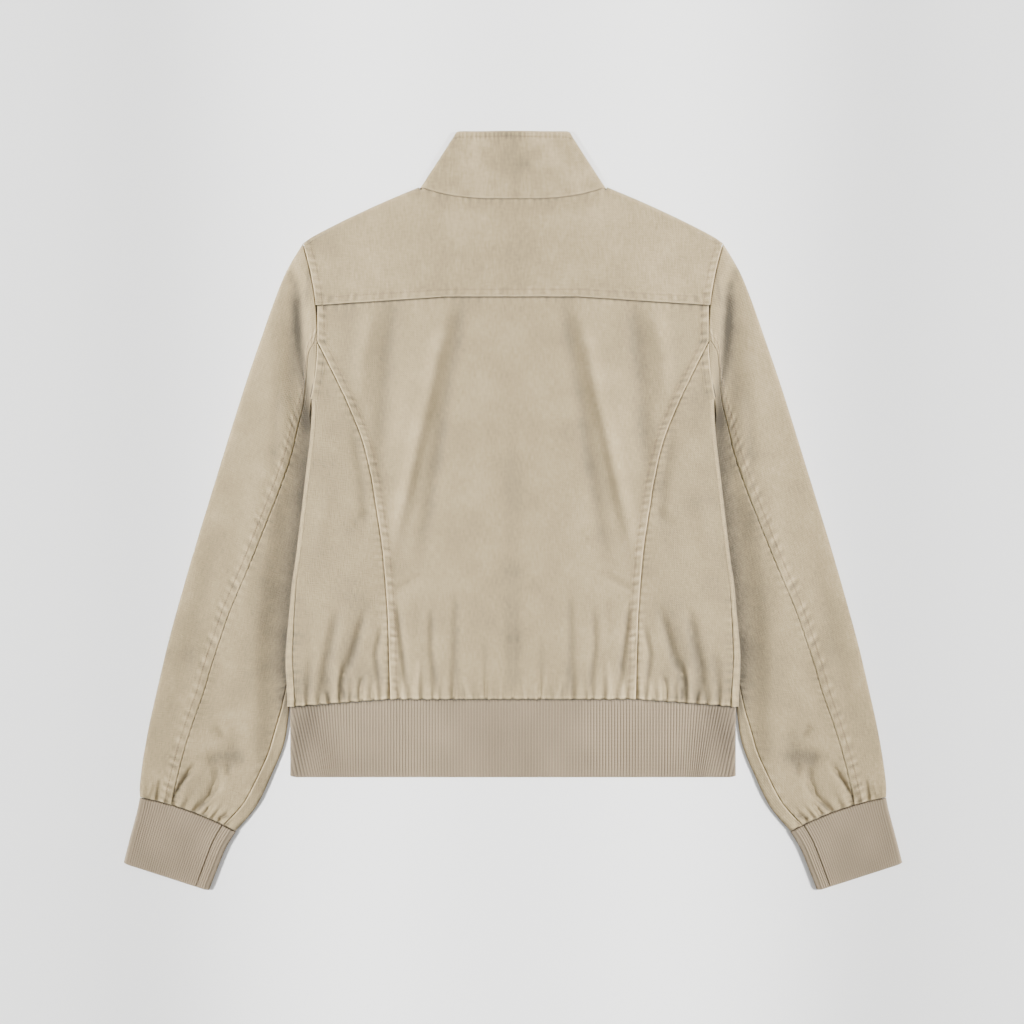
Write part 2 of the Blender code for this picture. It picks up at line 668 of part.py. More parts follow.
def make_sleeve_upper(name, side):
    """From the back seam over the outer fold, under the sleeve and round to the underarm seam."""
    def surface(place, station):
        kind, value = station
        width = sleeve_width(place)
        section = spline(SLEEVE, place)
        inward = (section[4:] - section[:2]) / width
        edge = fold_plan(90, CLOTH)[0] / width
        gap = SEAM_GAP / 2 / width
        out, across, up = inward, 0.0, 1.0
        lap = 0.0
        if kind == "upper":
            share = edge + (seam_share(place) - gap - edge) * value
            lap = welt((seam_share(place) - share) * width)
        elif kind == "outer":
            inset, across, up = fold_plan(value, CLOTH)
            share, out = inset / width, -inward
        elif kind == "floor":
            share, up = edge + (1 - 2 * edge) * value, -1.0
        elif kind == "inner":
            inset, across, up = fold_plan(value, CLOTH)
            share = 1 - inset / width
        else:
            share = 1 - edge + (underarm_share(place) + gap - 1 + edge) * value
        wave = math.cos(2 * math.pi * CUFF_GATHERS * share)
        return sleeve_point(place, share, out, across, up, wave, lap, side)

    columns = [("upper", share) for share in UPPER_SHARES]
    columns += [("outer", angle) for angle in FOLD_ANGLES]
    columns += [("floor", share) for share in FLOOR_SHARES]
    columns += [("inner", angle) for angle in reversed(FOLD_ANGLES)]
    columns += [("strip", 1.0)]
    panel(name, SLEEVE_ROWS, columns, surface, twill(name))


# Knitted bands.

def rib_columns(ribs, low, high):
    """Shares across a band at the foot and the crown of each rib."""
    return np.linspace(low, high, 2 * ribs + 1)


def make_cuff(name, side):
    """A cuff goes once round the wrist; its two ends meet on the upper layer."""
    last = len(SLEEVE) - 1

    def surface(place, station):
        kind, value = station
        edges = spline(CUFF, place)
        outer_edge, inner_edge = edges[:2], edges[2:]
        width = math.dist(outer_edge, inner_edge)
        inward = (inner_edge - outer_edge) / width
        edge = fold_plan(90, KNIT)[0]
        out, across, up, rib = inward, 0.0, 1.0, 0.0
        if kind == "ribs":
            inset = edge + (width - 2 * edge) * value[0]
            rib = RIB_HEIGHT * value[1]
        elif kind == "outer":
            inset, across, up = fold_plan(value, KNIT)
            out = -inward
        else:
            inset, across, up = fold_plan(value, KNIT)
            inset = width - inset
        share = inset / width
        bend = sleeve_plan(last, share) - sleeve_plan(last, 0) * (1 - share) - sleeve_plan(last, 1) * share
        plan = outer_edge + inward * inset + bend * (1 - place / (len(CUFF) - 1))
        inner, outer = wall_at(plan, out, across, up, KNIT + KNIT_AIR, KNIT, KNIT)
        return (side * inner[0], *inner[1:]), (side * outer[0], outer[1], outer[2] + rib)

    shares = rib_columns(CUFF_RIBS, 0.0, 1.0)
    ribs = [("ribs", (share, number % 2)) for number, share in enumerate(shares)]
    join = int(len(ribs) * CUFF_JOIN)
    columns = ribs[join::-1] + [("outer", angle) for angle in FOLD_ANGLES[1:]]
    columns += [("inner", angle) for angle in reversed(FOLD_ANGLES[1:])]
    columns += ribs[:join:-1]
    panel(name, (0, 1, 2, 3), columns, surface, knit(name))


def make_hem_rib():
    """The hem band runs from the zip round the back and on to the zip again."""
    def surface(foot, station):
        kind, value, side = station
        across, up, rib = 0.0, 1.0, 0.0
        edge = fold_plan(90, KNIT)[0]
        if kind == "ribs":
            x = (HEM_BAND_X - edge) * value
            rib = RIB_HEIGHT * side
        elif kind == "fold":
            inset, across, up = fold_plan(value, KNIT)
            x = side * (HEM_BAND_X - inset)
        else:
            x = side * (TAPE_X + SEAM_GAP)
            up = -1.0
        y = HEM_BAND_Y if foot else hem_y(x) - SEAM_GAP
        out = (math.copysign(1, x), 0)
        inner, outer = wall_at((x, y), out, across, up, KNIT + KNIT_AIR, KNIT, KNIT)
        return inner, (*outer[:2], outer[2] + rib)

    shares = rib_columns(HEM_RIBS, -1.0, 1.0)
    columns = [("front", 0, -1)]
    columns += [("fold", angle, -1) for angle in reversed(FOLD_ANGLES)][:-1]
    columns += [("ribs", share, number % 2) for number, share in enumerate(shares)]
    columns += [("fold", angle, 1) for angle in FOLD_ANGLES[1:]]
    columns += [("front", 0, 1)]
    panel("hem_rib", (1, 0), columns, surface, knit("hem_rib"))


def make_collar():
    """The stand collar runs from the zip round the back of the neck and on to the zip again."""
    def surface(climb, station):
        kind, value, side = station
        reach = NECK_X + (COLLAR_TOP_X - NECK_X) * climb
        edge = fold_plan(90, COLLAR_WALL)[0]
        across, up = 0.0, 1.0
        if kind == "back":
            x = (reach - edge) * value
        elif kind == "fold":
            inset, across, up = fold_plan(value, COLLAR_WALL)
            x = side * (reach - inset)
        else:
            x = side * (TAPE_X + SEAM_GAP + (reach - edge - TAPE_X - SEAM_GAP) * value)
            up = -1.0
        base_x = x * NECK_X / reach
        foot = neck_y(base_x) if up > 0 else front_neck_y(base_x)
        if kind == "fold":
            foot = neck_y(base_x) * (1 + up) / 2 + front_neck_y(base_x) * (1 - up) / 2
        top = COLLAR_TOP_Y - (COLLAR_FRONT_DROP if up < 0 else 0.0)
        y = foot + SEAM_GAP / 2 + (top - foot - SEAM_GAP / 2) * climb
        bottom = COLLAR_WALL + zip_rise(x, y)
        above = bottom + COLLAR_AIR
        return wall_at((x, y), (math.copysign(1, x), 0), across, up, above, bottom, COLLAR_WALL)

    level_x = NECK_X - fold_plan(90, COLLAR_WALL)[0] - TAPE_X - SEAM_GAP
    front = [0.0] + [(x - TAPE_X - SEAM_GAP) / level_x for x in FRONT_NECK_XS]
    columns = [("front", share, -1) for share in front]
    columns += [("fold", angle, -1) for angle in reversed(FOLD_ANGLES)][:-1]
    columns += [("back", share, 0) for share in np.linspace(-1, 1, COLLAR_BACK_STATIONS)]
    columns += [("fold", angle, 1) for angle in FOLD_ANGLES[1:]]
    columns += [("front", share, 1) for share in reversed(front)]
    panel("collar", COLLAR_ROWS, columns, surface, twill("collar"))


# Zip.

def make_tape(name, side):
    """A tape lies beside the front's edge; the two part round the slider's post."""
    parted = POST_WIDTH / 2 + SEAM_GAP

    def surface(y, share):
        near = TAPE_SPLIT + (parted - TAPE_SPLIT) * smooth(y, SLIDER_Y - 0.004, SLIDER_Y)
        x = near + (TAPE_X - near) * share
        bottom = CLOTH + zip_rise(x, y)
        return (side * x, y, bottom), (side * x, y, bottom - CLOTH)

    panel(name, TAPE_ROWS, (0.0, 0.5, 1.0), surface, twill(name))


def box(name, low, high):
    """A helper block between two corners."""
    bpy.ops.mesh.primitive_cube_add(size=1.0, location=(np.add(low, high) / 2).tolist())
    block = bpy.context.object
    block.name = name
    block.scale = np.subtract(high, low).tolist()
    return block


def rod(name, radius, length, centre):
    """A helper rod along X."""
    bpy.ops.mesh.primitive_cylinder_add(
        vertices=24, radius=radius, depth=length, location=centre, rotation=(0, math.pi / 2, 0))
    made = bpy.context.object
    made.name = name
    return made


def fused(name, origin, first, others, finish):
    """Helpers joined (or, with DIFFERENCE, cut away) into one solid whose origin is at a joint."""
    for other, operation in others:
        join = first.modifiers.new(other.name, "BOOLEAN")
        join.operation = operation
        join.object = other
    bpy.context.view_layer.update()
    whole = bpy.data.meshes.new_from_object(
        first.evaluated_get(bpy.context.evaluated_depsgraph_get()))
    whole.transform(Matrix.Translation(origin).inverted() @ first.matrix_world)
    whole.materials.clear()
    for helper in [first] + [other for other, _ in others]:
        bpy.data.objects.remove(helper, do_unlink=True)
    made = keep_object(name, whole, finish)
    made.location = origin
    return made


def make_slider():
    """Two plates round the tapes, a post between them, and lugs that hold the pull's pin."""
    half, reach = SLIDER_WIDTH / 2, SLIDER_LENGTH / 2
    outer_z = PIN_Z + EYE_RADIUS + PLATE_CLEAR
    inner_z = SLIDER_RISE + CLOTH + PLATE_CLEAR
    near_x = EYE_WIDTH / 2 + SEAM_GAP
    far_x = near_x + LUG_WIDTH
    low_z, high_z = PIN_Z - EYE_RADIUS * LUG_SHARE, outer_z + PLATE / 2
    start_y, end_y = SLIDER_Y - reach, SLIDER_Y + reach
    plate = box("outer_plate", (-half, start_y, outer_z), (half, end_y, outer_z + PLATE))
    inner_plate = box("inner_plate", (-half, SLIDER_Y - reach * INNER_PLATE_SHARE, inner_z),
                      (half, end_y, inner_z + PLATE))
    post = box("post", (-POST_WIDTH / 2, SLIDER_Y + POST_START, high_z),
               (POST_WIDTH / 2, SLIDER_Y + reach * POST_SHARE, inner_z + PLATE / 2))
    lugs = [box(f"lug_{x_low}", (x_low, SLIDER_Y - EYE_RADIUS, low_z),
                (x_low + LUG_WIDTH, SLIDER_Y + EYE_RADIUS, high_z))
            for x_low in (-far_x, near_x)]
    pin = rod("pin", PIN_RADIUS, near_x + far_x, (0, SLIDER_Y, PIN_Z))
    joined = [(piece, "UNION") for piece in (inner_plate, post, *lugs, pin)]
    fused("zip_slider", (0, SLIDER_Y, PIN_Z), plate, joined, brass("zip_slider"))


def make_pull():
    """The pull hangs from the pin by its eye and lies along the zip, on the garment's outside."""
    low = PIN_Z - PULL_THICK
    neck_end = SLIDER_Y - EYE_RADIUS - NECK_LENGTH
    eye = rod("eye", EYE_RADIUS, EYE_WIDTH, (0, SLIDER_Y, PIN_Z))
    neck = box("neck", (-EYE_WIDTH / 2, neck_end - NECK_LAP, low), (EYE_WIDTH / 2, SLIDER_Y, PIN_Z))
    tab = box("tab", (-PULL_WIDTH / 2, SLIDER_Y - PULL_LENGTH, low), (PULL_WIDTH / 2, neck_end, PIN_Z))
    bore = rod("bore", EYE_BORE, EYE_WIDTH * 2, (0, SLIDER_Y, PIN_Z))
    joined = [(neck, "UNION"), (tab, "UNION"), (bore, "DIFFERENCE")]
    fused("zip_pull", (0, SLIDER_Y, PIN_Z), eye, joined, brass("zip_pull"))


def build():
    for item in list(bpy.data.objects):
        bpy.data.objects.remove(item, do_unlink=True)
    bpy.context.scene.collection.children.link(bpy.data.collections.new(COLLECTION))
    make_yoke()
    make_back_centre()
    make_hem_rib()
    make_collar()
    for side, hand in ((-1, "left"), (1, "right")):
        make_back_side(f"back_side_{hand}", side)
        make_front(f"front_{hand}", side)
        make_sleeve_upper(f"sleeve_upper_{hand}", side)
        make_sleeve_under(f"sleeve_under_{hand}", side)
        make_cuff(f"cuff_{hand}", side)
        make_tape(f"zip_tape_{hand}", side)
    make_slider()
    make_pull()


build()
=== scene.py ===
import math
from collections import namedtuple

import bpy
import numpy as np
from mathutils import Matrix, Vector


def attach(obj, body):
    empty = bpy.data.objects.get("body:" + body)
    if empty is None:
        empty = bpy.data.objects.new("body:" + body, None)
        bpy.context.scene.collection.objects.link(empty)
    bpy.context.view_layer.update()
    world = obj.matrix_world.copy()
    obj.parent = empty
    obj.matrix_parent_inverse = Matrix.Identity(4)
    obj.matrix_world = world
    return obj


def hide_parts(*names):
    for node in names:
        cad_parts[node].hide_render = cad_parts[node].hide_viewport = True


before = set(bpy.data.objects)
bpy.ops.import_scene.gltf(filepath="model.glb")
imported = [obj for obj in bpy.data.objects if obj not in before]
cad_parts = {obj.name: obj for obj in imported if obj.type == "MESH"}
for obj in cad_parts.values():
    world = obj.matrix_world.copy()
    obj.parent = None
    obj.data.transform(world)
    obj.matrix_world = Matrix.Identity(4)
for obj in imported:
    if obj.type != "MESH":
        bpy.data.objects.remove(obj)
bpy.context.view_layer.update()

# The jacket lies on its front on a pale studio floor, seen straight from above, its collar away
# from the viewer. Each half is lit by three strip boxes at its own side, whose honeycomb grids
# keep their light off the other half, and both by a weak even light from overhead.
PHOTO_PIXELS = 1024
METRES_PER_PIXEL = 0.00097
MIDDLE_OF_VIEW = (-0.00097, -0.00097)
CAMERA_HEIGHT = 4.0
SENSOR = 36.0
FLOOR_SIDE = 7.0
FLOOR_DROP = 0.0002
FLOOR_COLOUR = "FBFBFA"
OVERHEAD_PLACE = (0.0, 1.3, 3.4)
OVERHEAD_SIZE = (2.6, 2.6)
OVERHEAD_POWER = 31.0
STRIP_AIMS = (0.13, 0.34, 0.56)
STRIP_POWERS = (2.5, 1.2, 1.9)
STRIP_REACH, STRIP_HEIGHT = 1.26, 1.00
STRIP_SIZE = (1.3, 0.05)
OPEN_SPREAD, GRID_SPREAD = 180.0, 12.0
WORLD_COLOUR = "FFFFFF"
WORLD_STRENGTH = 0.42


def linear(colour):
    """A hex colour as linear RGB with full alpha."""
    channels = [int(colour[i:i + 2], 16) / 255 for i in (0, 2, 4)]
    return (*[c / 12.92 if c <= 0.04045 else ((c + 0.055) / 1.055) ** 2.4 for c in channels], 1.0)


def add(tree, kind, inputs=None, colours=None, **settings):
    """A node with its settings. An input takes a value, or a socket that is linked to it.

    colours are a ramp's hex colours by their places, from the first to the last.
    """
    made = tree.nodes.new(kind)
    for name, value in settings.items():
        setattr(made, name, value)
    for name, value in (inputs or {}).items():
        if isinstance(value, bpy.types.NodeSocket):
            tree.links.new(value, made.inputs[name])
        else:
            made.inputs[name].default_value = value
    if colours:
        stops = made.color_ramp.elements
        stops[1].position = max(colours)
        for place, colour in colours.items():
            ends = {min(colours): stops[0], max(colours): stops[-1]}
            stop = ends[place] if place in ends else stops.new(place)
            stop.color = linear(colour)
    return made


def new_material(name, values):
    """A material, its tree and its Principled shader, with values on the shader's own sockets."""
    made = bpy.data.materials.new(name)
    made.use_nodes = True
    shader = made.node_tree.nodes["Principled BSDF"]
    for socket, value in values.items():
        shader.inputs[socket].default_value = value
    return made, made.node_tree, shader


def put(name, data):
    """An object in the scene."""
    made = bpy.data.objects.new(name, data)
    bpy.context.scene.collection.objects.link(made)
    return made


def soft_box(name, place, aim, size, power, spread=OPEN_SPREAD):
    """A rectangular light, turned to where it aims; spread is its angle in degrees."""
    light = bpy.data.lights.new(name, "AREA")
    light.shape = "RECTANGLE"
    light.size, light.size_y = size
    light.energy, light.spread = power, math.radians(spread)
    made = put(name, light)
    made.location = place
    made.rotation_euler = (Vector(aim) - Vector(place)).to_track_quat("-Z", "Y").to_euler()


camera_data = bpy.data.cameras.new("camera")
camera_data.sensor_width = SENSOR
camera_data.lens = SENSOR * CAMERA_HEIGHT / (PHOTO_PIXELS * METRES_PER_PIXEL)
camera = put("camera", camera_data)
camera.location = (*MIDDLE_OF_VIEW, CAMERA_HEIGHT)
bpy.context.scene.camera = camera

floor_mesh = bpy.data.meshes.new("floor")
corners = [(across * FLOOR_SIDE / 2, up * FLOOR_SIDE / 2, -FLOOR_DROP)
           for across, up in ((-1, -1), (1, -1), (1, 1), (-1, 1))]
floor_mesh.from_pydata(corners, [], [(0, 1, 2, 3)])
floor_mesh.materials.append(new_material(
    "matt_pale_floor", {"Base Color": linear(FLOOR_COLOUR), "Roughness": 0.95})[0])
floor = put("floor", floor_mesh)

soft_box("overhead", OVERHEAD_PLACE, (0.0, 0.0, 0.0), OVERHEAD_SIZE, OVERHEAD_POWER)
for side in (-1, 1):
    for aim_x, power in zip(STRIP_AIMS, STRIP_POWERS):
        place = (side * (aim_x + STRIP_REACH), 0.0, STRIP_HEIGHT)
        soft_box(f"strip_box_{side}_{aim_x}", place, (side * aim_x, 0.0, 0.0), STRIP_SIZE, power,
                 GRID_SPREAD)

world = bpy.data.worlds.new("studio")
bpy.context.scene.world = world
world.use_nodes = True
sky = world.node_tree.nodes["Background"]
sky.inputs["Color"].default_value = linear(WORLD_COLOUR)
sky.inputs["Strength"].default_value = WORLD_STRENGTH


# Back: one centre panel between two curved seams and a side panel at each side, of 1.2 mm
# garment-washed cotton twill. The centre panel's edges are turned under, lapped over the side
# panels and topstitched; washing has puckered the seams and faded their ridges. The puckers are
# also painted lighter and darker as light and shade, the ridges carry a painted highlight, and
# the seams' lines a painted shade.
HANDS = ((-1, "left"), (1, "right"))
CLOTH = 0.0012
SEAM_GAP = 0.0003
BODY_AIR = 0.0042
HIDDEN_AIR = 0.0008
LEAST_AIR = 0.0005
ARMPIT_Y = 0.1096
ARMPIT_BLEND = 0.006
YOKE_SEAM_Y = 0.2076
YOKE_CORNER_X = 0.062
YOKE_END = (0.1896, 0.1993)
HEM_Y = -0.1828
HEM_CORNER_X = 0.119
HEM_END = (0.2180, -0.1903)
HEM_LUMPS = 0.0004
BACK_FOOT = -0.1825
BACK_HEAD = 0.1990
SIDE_HEAD = 0.1625
HIDDEN_TOP = 2 * CLOTH + HIDDEN_AIR + 2 * SEAM_GAP
FLOOR_RAMP = (0.022, 0.009)
BACK_RAMP = (0.055, 0.009)

BodyEdge = namedtuple("BodyEdge", "y fold_x seam_inset")
BODY_EDGE = (
    BodyEdge(-0.1903, 0.2183, 0.0078),
    BodyEdge(-0.1640, 0.2192, 0.0074),
    BodyEdge(-0.1330, 0.2202, 0.0070),
    BodyEdge(-0.0910, 0.2165, 0.0052),
    BodyEdge(-0.0640, 0.2140, 0.0046),
    BodyEdge(-0.0440, 0.2108, 0.0044),
    BodyEdge(0.0010, 0.2052, 0.0044),
    BodyEdge(0.0380, 0.2008, 0.0044),
    BodyEdge(0.0750, 0.1964, 0.0044),
    BodyEdge(0.0970, 0.1950, 0.0044),
    BodyEdge(0.1096, 0.1952, 0.0044),
)
SeamPoint = namedtuple("SeamPoint", "y x")
PRINCESS = (
    SeamPoint(-0.1830, 0.1190),
    SeamPoint(-0.1250, 0.1205),
    SeamPoint(-0.0910, 0.1220),
    SeamPoint(-0.0360, 0.1265),
    SeamPoint(0.0010, 0.1320),
    SeamPoint(0.0350, 0.1375),
    SeamPoint(0.0710, 0.1465),
    SeamPoint(0.1050, 0.1600),
    SeamPoint(0.1270, 0.1705),
    SeamPoint(0.1650, 0.1896),
)
# A sleeve's sections from the armhole to the cuff, which the back's armholes share.
Section = namedtuple("Section", "outer_x outer_y seam_x seam_y inner_x inner_y")
SLEEVE = (
    Section(0.2037, 0.2595, 0.1896, 0.1668, 0.1956, 0.1101),
    Section(0.2202, 0.2318, 0.1979, 0.1533, 0.1968, 0.0970),
    Section(0.2328, 0.2008, 0.2003, 0.1290, 0.1972, 0.0844),
    Section(0.2449, 0.1659, 0.2032, 0.1038, 0.1921, 0.0631),
    Section(0.2580, 0.1271, 0.2086, 0.0805, 0.1775, 0.0398),
    Section(0.2697, 0.0902, 0.2149, 0.0534, 0.1659, 0.0165),
    Section(0.2823, 0.0495, 0.2255, 0.0223, 0.1591, -0.0107),
    Section(0.2949, 0.0087, 0.2372, -0.0078, 0.1571, -0.0398),
    Section(0.3085, -0.0359, 0.2551, -0.0524, 0.1659, -0.0805),
    Section(0.3220, -0.0825, 0.2741, -0.0970, 0.1853, -0.1193),
    Section(0.3347, -0.1290, 0.2897, -0.1426, 0.2050, -0.1420),
    Section(0.3448, -0.1717, 0.2995, -0.1756, 0.2142, -0.1660),
    Section(0.3526, -0.2066, 0.3104, -0.2066, 0.2176, -0.1989),
    Section(0.3579, -0.2357, 0.3191, -0.2347, 0.2221, -0.2260),
    Section(0.3608, -0.2561, 0.3248, -0.2571, 0.2338, -0.2551),
    Section(0.3620, -0.2687, 0.3283, -0.2716, 0.2488, -0.2862),
    Section(0.3618, -0.2774, 0.3308, -0.2848, 0.2689, -0.3104),
)
LAST_SECTION = len(SLEEVE) - 1
FIRST_HIDDEN, LAST_HIDDEN = 2, 11.4

# Folds and creases of one half: a path down the cloth, its half width, its depth and its tone,
# which is painted shading, from -1, painted shade in a hollow, to 1, painted light on a ridge.
Crease = namedtuple("Crease", "path half_width depth tone")
BACK_CREASES = (
    Crease(((0.0650, 0.1872), (0.0747, 0.1465), (0.0825, 0.1077), (0.0922, 0.0689), (0.1009, 0.0301),
            (0.1096, -0.0087), (0.1154, -0.0378)), 0.0072, 0.0042, 0.12),
    Crease(((0.0475, 0.2086), (0.0514, 0.1833), (0.0572, 0.1465), (0.0650, 0.1077), (0.0708, 0.0689),
            (0.0757, 0.0301), (0.0825, -0.0087), (0.0892, -0.0475)), 0.0074, -0.0024, -0.72),
    Crease(((0.1368, 0.1930), (0.1465, 0.1465), (0.1465, 0.1077)), 0.0090, 0.0024, 0.10),
    Crease(((0.1125, 0.2086), (0.1203, 0.1610), (0.1242, 0.1077), (0.1261, 0.0640),
            (0.1319, 0.0223)),
            0.0088, -0.0020, -0.58),
    Crease(((0.1542, 0.0834), (0.1455, 0.0301), (0.1426, -0.0087), (0.1484, -0.0359)),
            0.0050, -0.0008, -0.30),
    Crease(((0.1649, 0.1300), (0.1581, 0.0815)), 0.0110, 0.0014, 0.00),
    Crease(((0.1145, -0.0766), (0.0863, -0.0611)), 0.0036, -0.0012, -0.28),
    Crease(((0.1552, -0.0146), (0.1339, 0.0019)), 0.0060, -0.0012, -0.22),
    Crease(((0.0010, 0.1077), (0.0019, 0.0301), (0.0019, -0.0475), (0.0029, -0.1251),
            (0.0029, -0.1872)), 0.0062, -0.0008, -0.26),
    Crease(((0.1804, 0.0204), (0.1901, -0.0495)), 0.0100, 0.0010, 0.00),
    Crease(((0.0291, 0.1659), (0.0310, 0.0883), (0.0320, -0.0087)), 0.0100, 0.0006, 0.14),
    Crease(((0.0805, 0.1756), (0.0960, 0.1077), (0.1077, 0.0495)), 0.0130, 0.0014, 0.12),
)
HEM_CREASES = (
    Crease(((0.1698, -0.0980), (0.1746, -0.1251), (0.1804, -0.1494), (0.1824, -0.1814)),
            0.0056, -0.0024, -0.62),
    Crease(((0.1426, -0.0980), (0.1484, -0.1174), (0.1547, -0.1397), (0.1630, -0.1562),
            (0.1649, -0.1678), (0.1620, -0.1862)), 0.0046, -0.0022, -0.62),
    Crease(((0.1678, -0.1494), (0.1688, -0.1833)), 0.0034, 0.0016, 0.30),
    Crease(((0.1271, -0.1135), (0.1324, -0.1387), (0.1310, -0.1494), (0.1300, -0.1659)),
            0.0030, -0.0018, -0.75),
    Crease(((0.1183, -0.1193), (0.1193, -0.1523)), 0.0024, -0.0010, -0.40),
    Crease(((0.1445, -0.1600), (0.1494, -0.1833)), 0.0028, -0.0014, -0.50),
    Crease(((0.1116, -0.0922), (0.1077, -0.1251), (0.1048, -0.1484), (0.1028, -0.1736)),
            0.0032, -0.0022, -0.68),
    Crease(((0.0902, -0.1445), (0.0931, -0.1833)), 0.0030, 0.0010, 0.20),
    Crease(((0.0776, -0.0980), (0.0786, -0.1300), (0.0747, -0.1639), (0.0718, -0.1833)),
            0.0036, -0.0020, -0.55),
    Crease(((0.0543, -0.0805), (0.0553, -0.1300), (0.0543, -0.1833)), 0.0042, -0.0018, -0.62),
    Crease(((0.0466, -0.1581), (0.0427, -0.1833)), 0.0030, 0.0014, 0.25),
    Crease(((0.0262, -0.1251), (0.0272, -0.1833)), 0.0034, -0.0012, -0.28),
    Crease(((0.0019, -0.0960), (0.0029, -0.1348), (0.0019, -0.1872)), 0.0036, -0.0014, -0.34),
    Crease(((0.1940, -0.1397), (0.1998, -0.1853)), 0.0050, -0.0012, -0.35),
    Crease(((0.0902, -0.0863), (0.0922, -0.1251)), 0.0050, -0.0008, -0.16),
    Crease(((0.1678, -0.1600), (0.1683, -0.1853)), 0.0011, -0.0006, -0.80),
    Crease(((0.1804, -0.1736), (0.1785, -0.1862)), 0.0013, -0.0006, -0.90),
    Crease(((0.1639, -0.1717), (0.1634, -0.1853)), 0.0012, -0.0006, -0.90),
    Crease(((0.1310, -0.1562), (0.1290, -0.1814)), 0.0012, -0.0004, -0.45),
    Crease(((0.0485, -0.1678), (0.0456, -0.1843)), 0.0012, -0.0004, -0.60),
    Crease(((0.0262, -0.1717), (0.0252, -0.1853)), 0.0012, -0.0004, -0.50),
)

# The gathers over the hem: how high they stand and how far up they run, which varies along it, and
# the fine tucks between them. They are shallower near the sides. Their crests are painted lighter
# and their hollows darker, as light and shade, and the sides are painted darker, as shade.
GATHER_HEIGHT = 0.0017
GATHER_SPACING = 0.0100
GATHER_REACH, REACH_CHANGE, REACH_SPACING = 0.017, 0.009, 0.034
SIDE_LOSS, SIDE_SPAN = 0.45, (0.14, 0.20)
TUCK_HEIGHT, TUCK_SPACING, TUCK_REACH = 0.0005, 0.0052, 0.006
GATHER_PAINTED_SHADING, GATHER_SHADING_REACH, TUCK_SHADING_SHARE = 0.34, 0.013, 0.8
SIDE_PAINTED_SHADE, SIDE_SHADE_SPAN, LOW_SPAN = 0.22, (0.12, 0.16), (-0.08, -0.15)
AIR_AT_HEM, AIR_GAINED, GAIN_SPAN = 0.55, 0.45, (0.0, 0.03)
SOFT_HILLS = ((0.00035, 0.021, 13), (0.00010, 0.008, 14))
# Painted shade where the cloth turns down through a fold, on rims and on the fronts' side folds.
RIM_SHADE = 0.55
FOLD_SHADE = 0.80
MOTTLE, MOTTLE_CELL = 0.16, 0.017

# A turned and stitched edge: its raised band, the stitch's distance from it and its puckers.
WELT = 0.0004
WELT_WIDTH = 0.0075
WELT_SLOPE = 0.0020
WELT_RIM = 0.0009
STITCH_INSET = 0.0068
STITCH_SINK = 0.00025
STITCH_GROOVE = 0.0007
PUCKER_HEIGHT = 0.00044
PUCKER_SPACING = 0.0082
PUCKER_REACH = 0.0105
PUCKER_SLANT = 0.2
# The pucker height that makes one step of painted shading: crests painted lighter, hollows darker.
PUCKER_SHADING_STEP = 0.00058
SEAM_DIP, SEAM_DIP_WIDTH = 0.0005, 0.0006
# How pale a folded edge is painted, and over what width: partly faded, partly a painted highlight.
PALE_EDGE, PALE_EDGE_WIDTH = 0.9, 0.0011
EDGE_INSETS = np.array((0.0, 0.35, 0.8, 1.4, 2.2, 3.2, 4.4, 5.5, 6.3, 6.8, 7.3, 8.1, 9.2,
                        10.6)) / 1000   # the first rows in from a turned edge
ROW_STEP = 0.0014
COLUMN_STEP = 0.0017


def smooth(value, low, high):
    """0 at low, 1 at high and an even S between them; low may be the greater."""
    share = np.clip((value - low) / (high - low), 0.0, 1.0)
    return share * share * (3 - 2 * share)


def beside(gap, reach):
    """1 on a line, falling away at both of its sides: about a third is left at the reach."""
    return np.exp(-((gap / reach) ** 2))


def spline(rows, place):
    """A smooth run through the rows of a table, where place 2.5 is halfway from row 2 to row 3."""
    rows, place = np.asarray(rows, float), np.asarray(place, float)
    last = len(rows) - 1
    start = np.clip(place.astype(int), 0, last - 1)
    share = (place - start)[..., None]
    before, here = rows[np.maximum(start - 1, 0)], rows[start]
    after, beyond = rows[start + 1], rows[np.minimum(start + 2, last)]
    return here + 0.5 * share * (
        after - before
        + share * (2 * before - 5 * here + 4 * after - beyond)
        + share * share * (3 * here - before - 3 * after + beyond)
    )


def spline_points(rows, steps=8):
    """Points along a table's smooth run, with some steps from each row to the next."""
    return spline(rows, np.linspace(0, len(rows) - 1, steps * (len(rows) - 1) + 1))


def run_along(path):
    """How far along a path each of its points is, in metres."""
    steps = np.diff(np.asarray(path, float), axis=0)
    return np.concatenate(([0], np.linalg.norm(steps, axis=1).cumsum()))


def distance(path, x, y):
    """How far points are from a path, and how far along it their nearest points are, in metres."""
    path = np.asarray(path, float)
    spots = np.stack(np.broadcast_arrays(x, y), axis=-1)[..., None, :]
    steps = np.diff(path, axis=0)
    lengths = np.hypot(steps[:, 0], steps[:, 1])
    shares = np.clip(((spots - path[:-1]) * steps).sum(-1) / lengths**2, 0, 1)
    gaps = np.linalg.norm(path[:-1] + steps * shares[..., None] - spots, axis=-1)
    along = lengths.cumsum() - lengths + shares * lengths
    nearest = gaps.argmin(-1)[..., None]
    return [np.take_along_axis(values, nearest, -1)[..., 0] for values in (gaps, along)]


def creased(creases, x, y, column="depth"):
    """What a table's creases add to the height, or to the painted shading; each fades towards its
    ends.
    """
    total = np.zeros(np.broadcast(x, y).shape)
    for crease in creases:
        gap, along = distance(crease.path, x, y)
        along = along / run_along(crease.path)[-1]
        ends = smooth(along, -0.12, 0.2) * smooth(along, 1.12, 0.7)
        total += getattr(crease, column) * ends * beside(gap, crease.half_width)
    return total


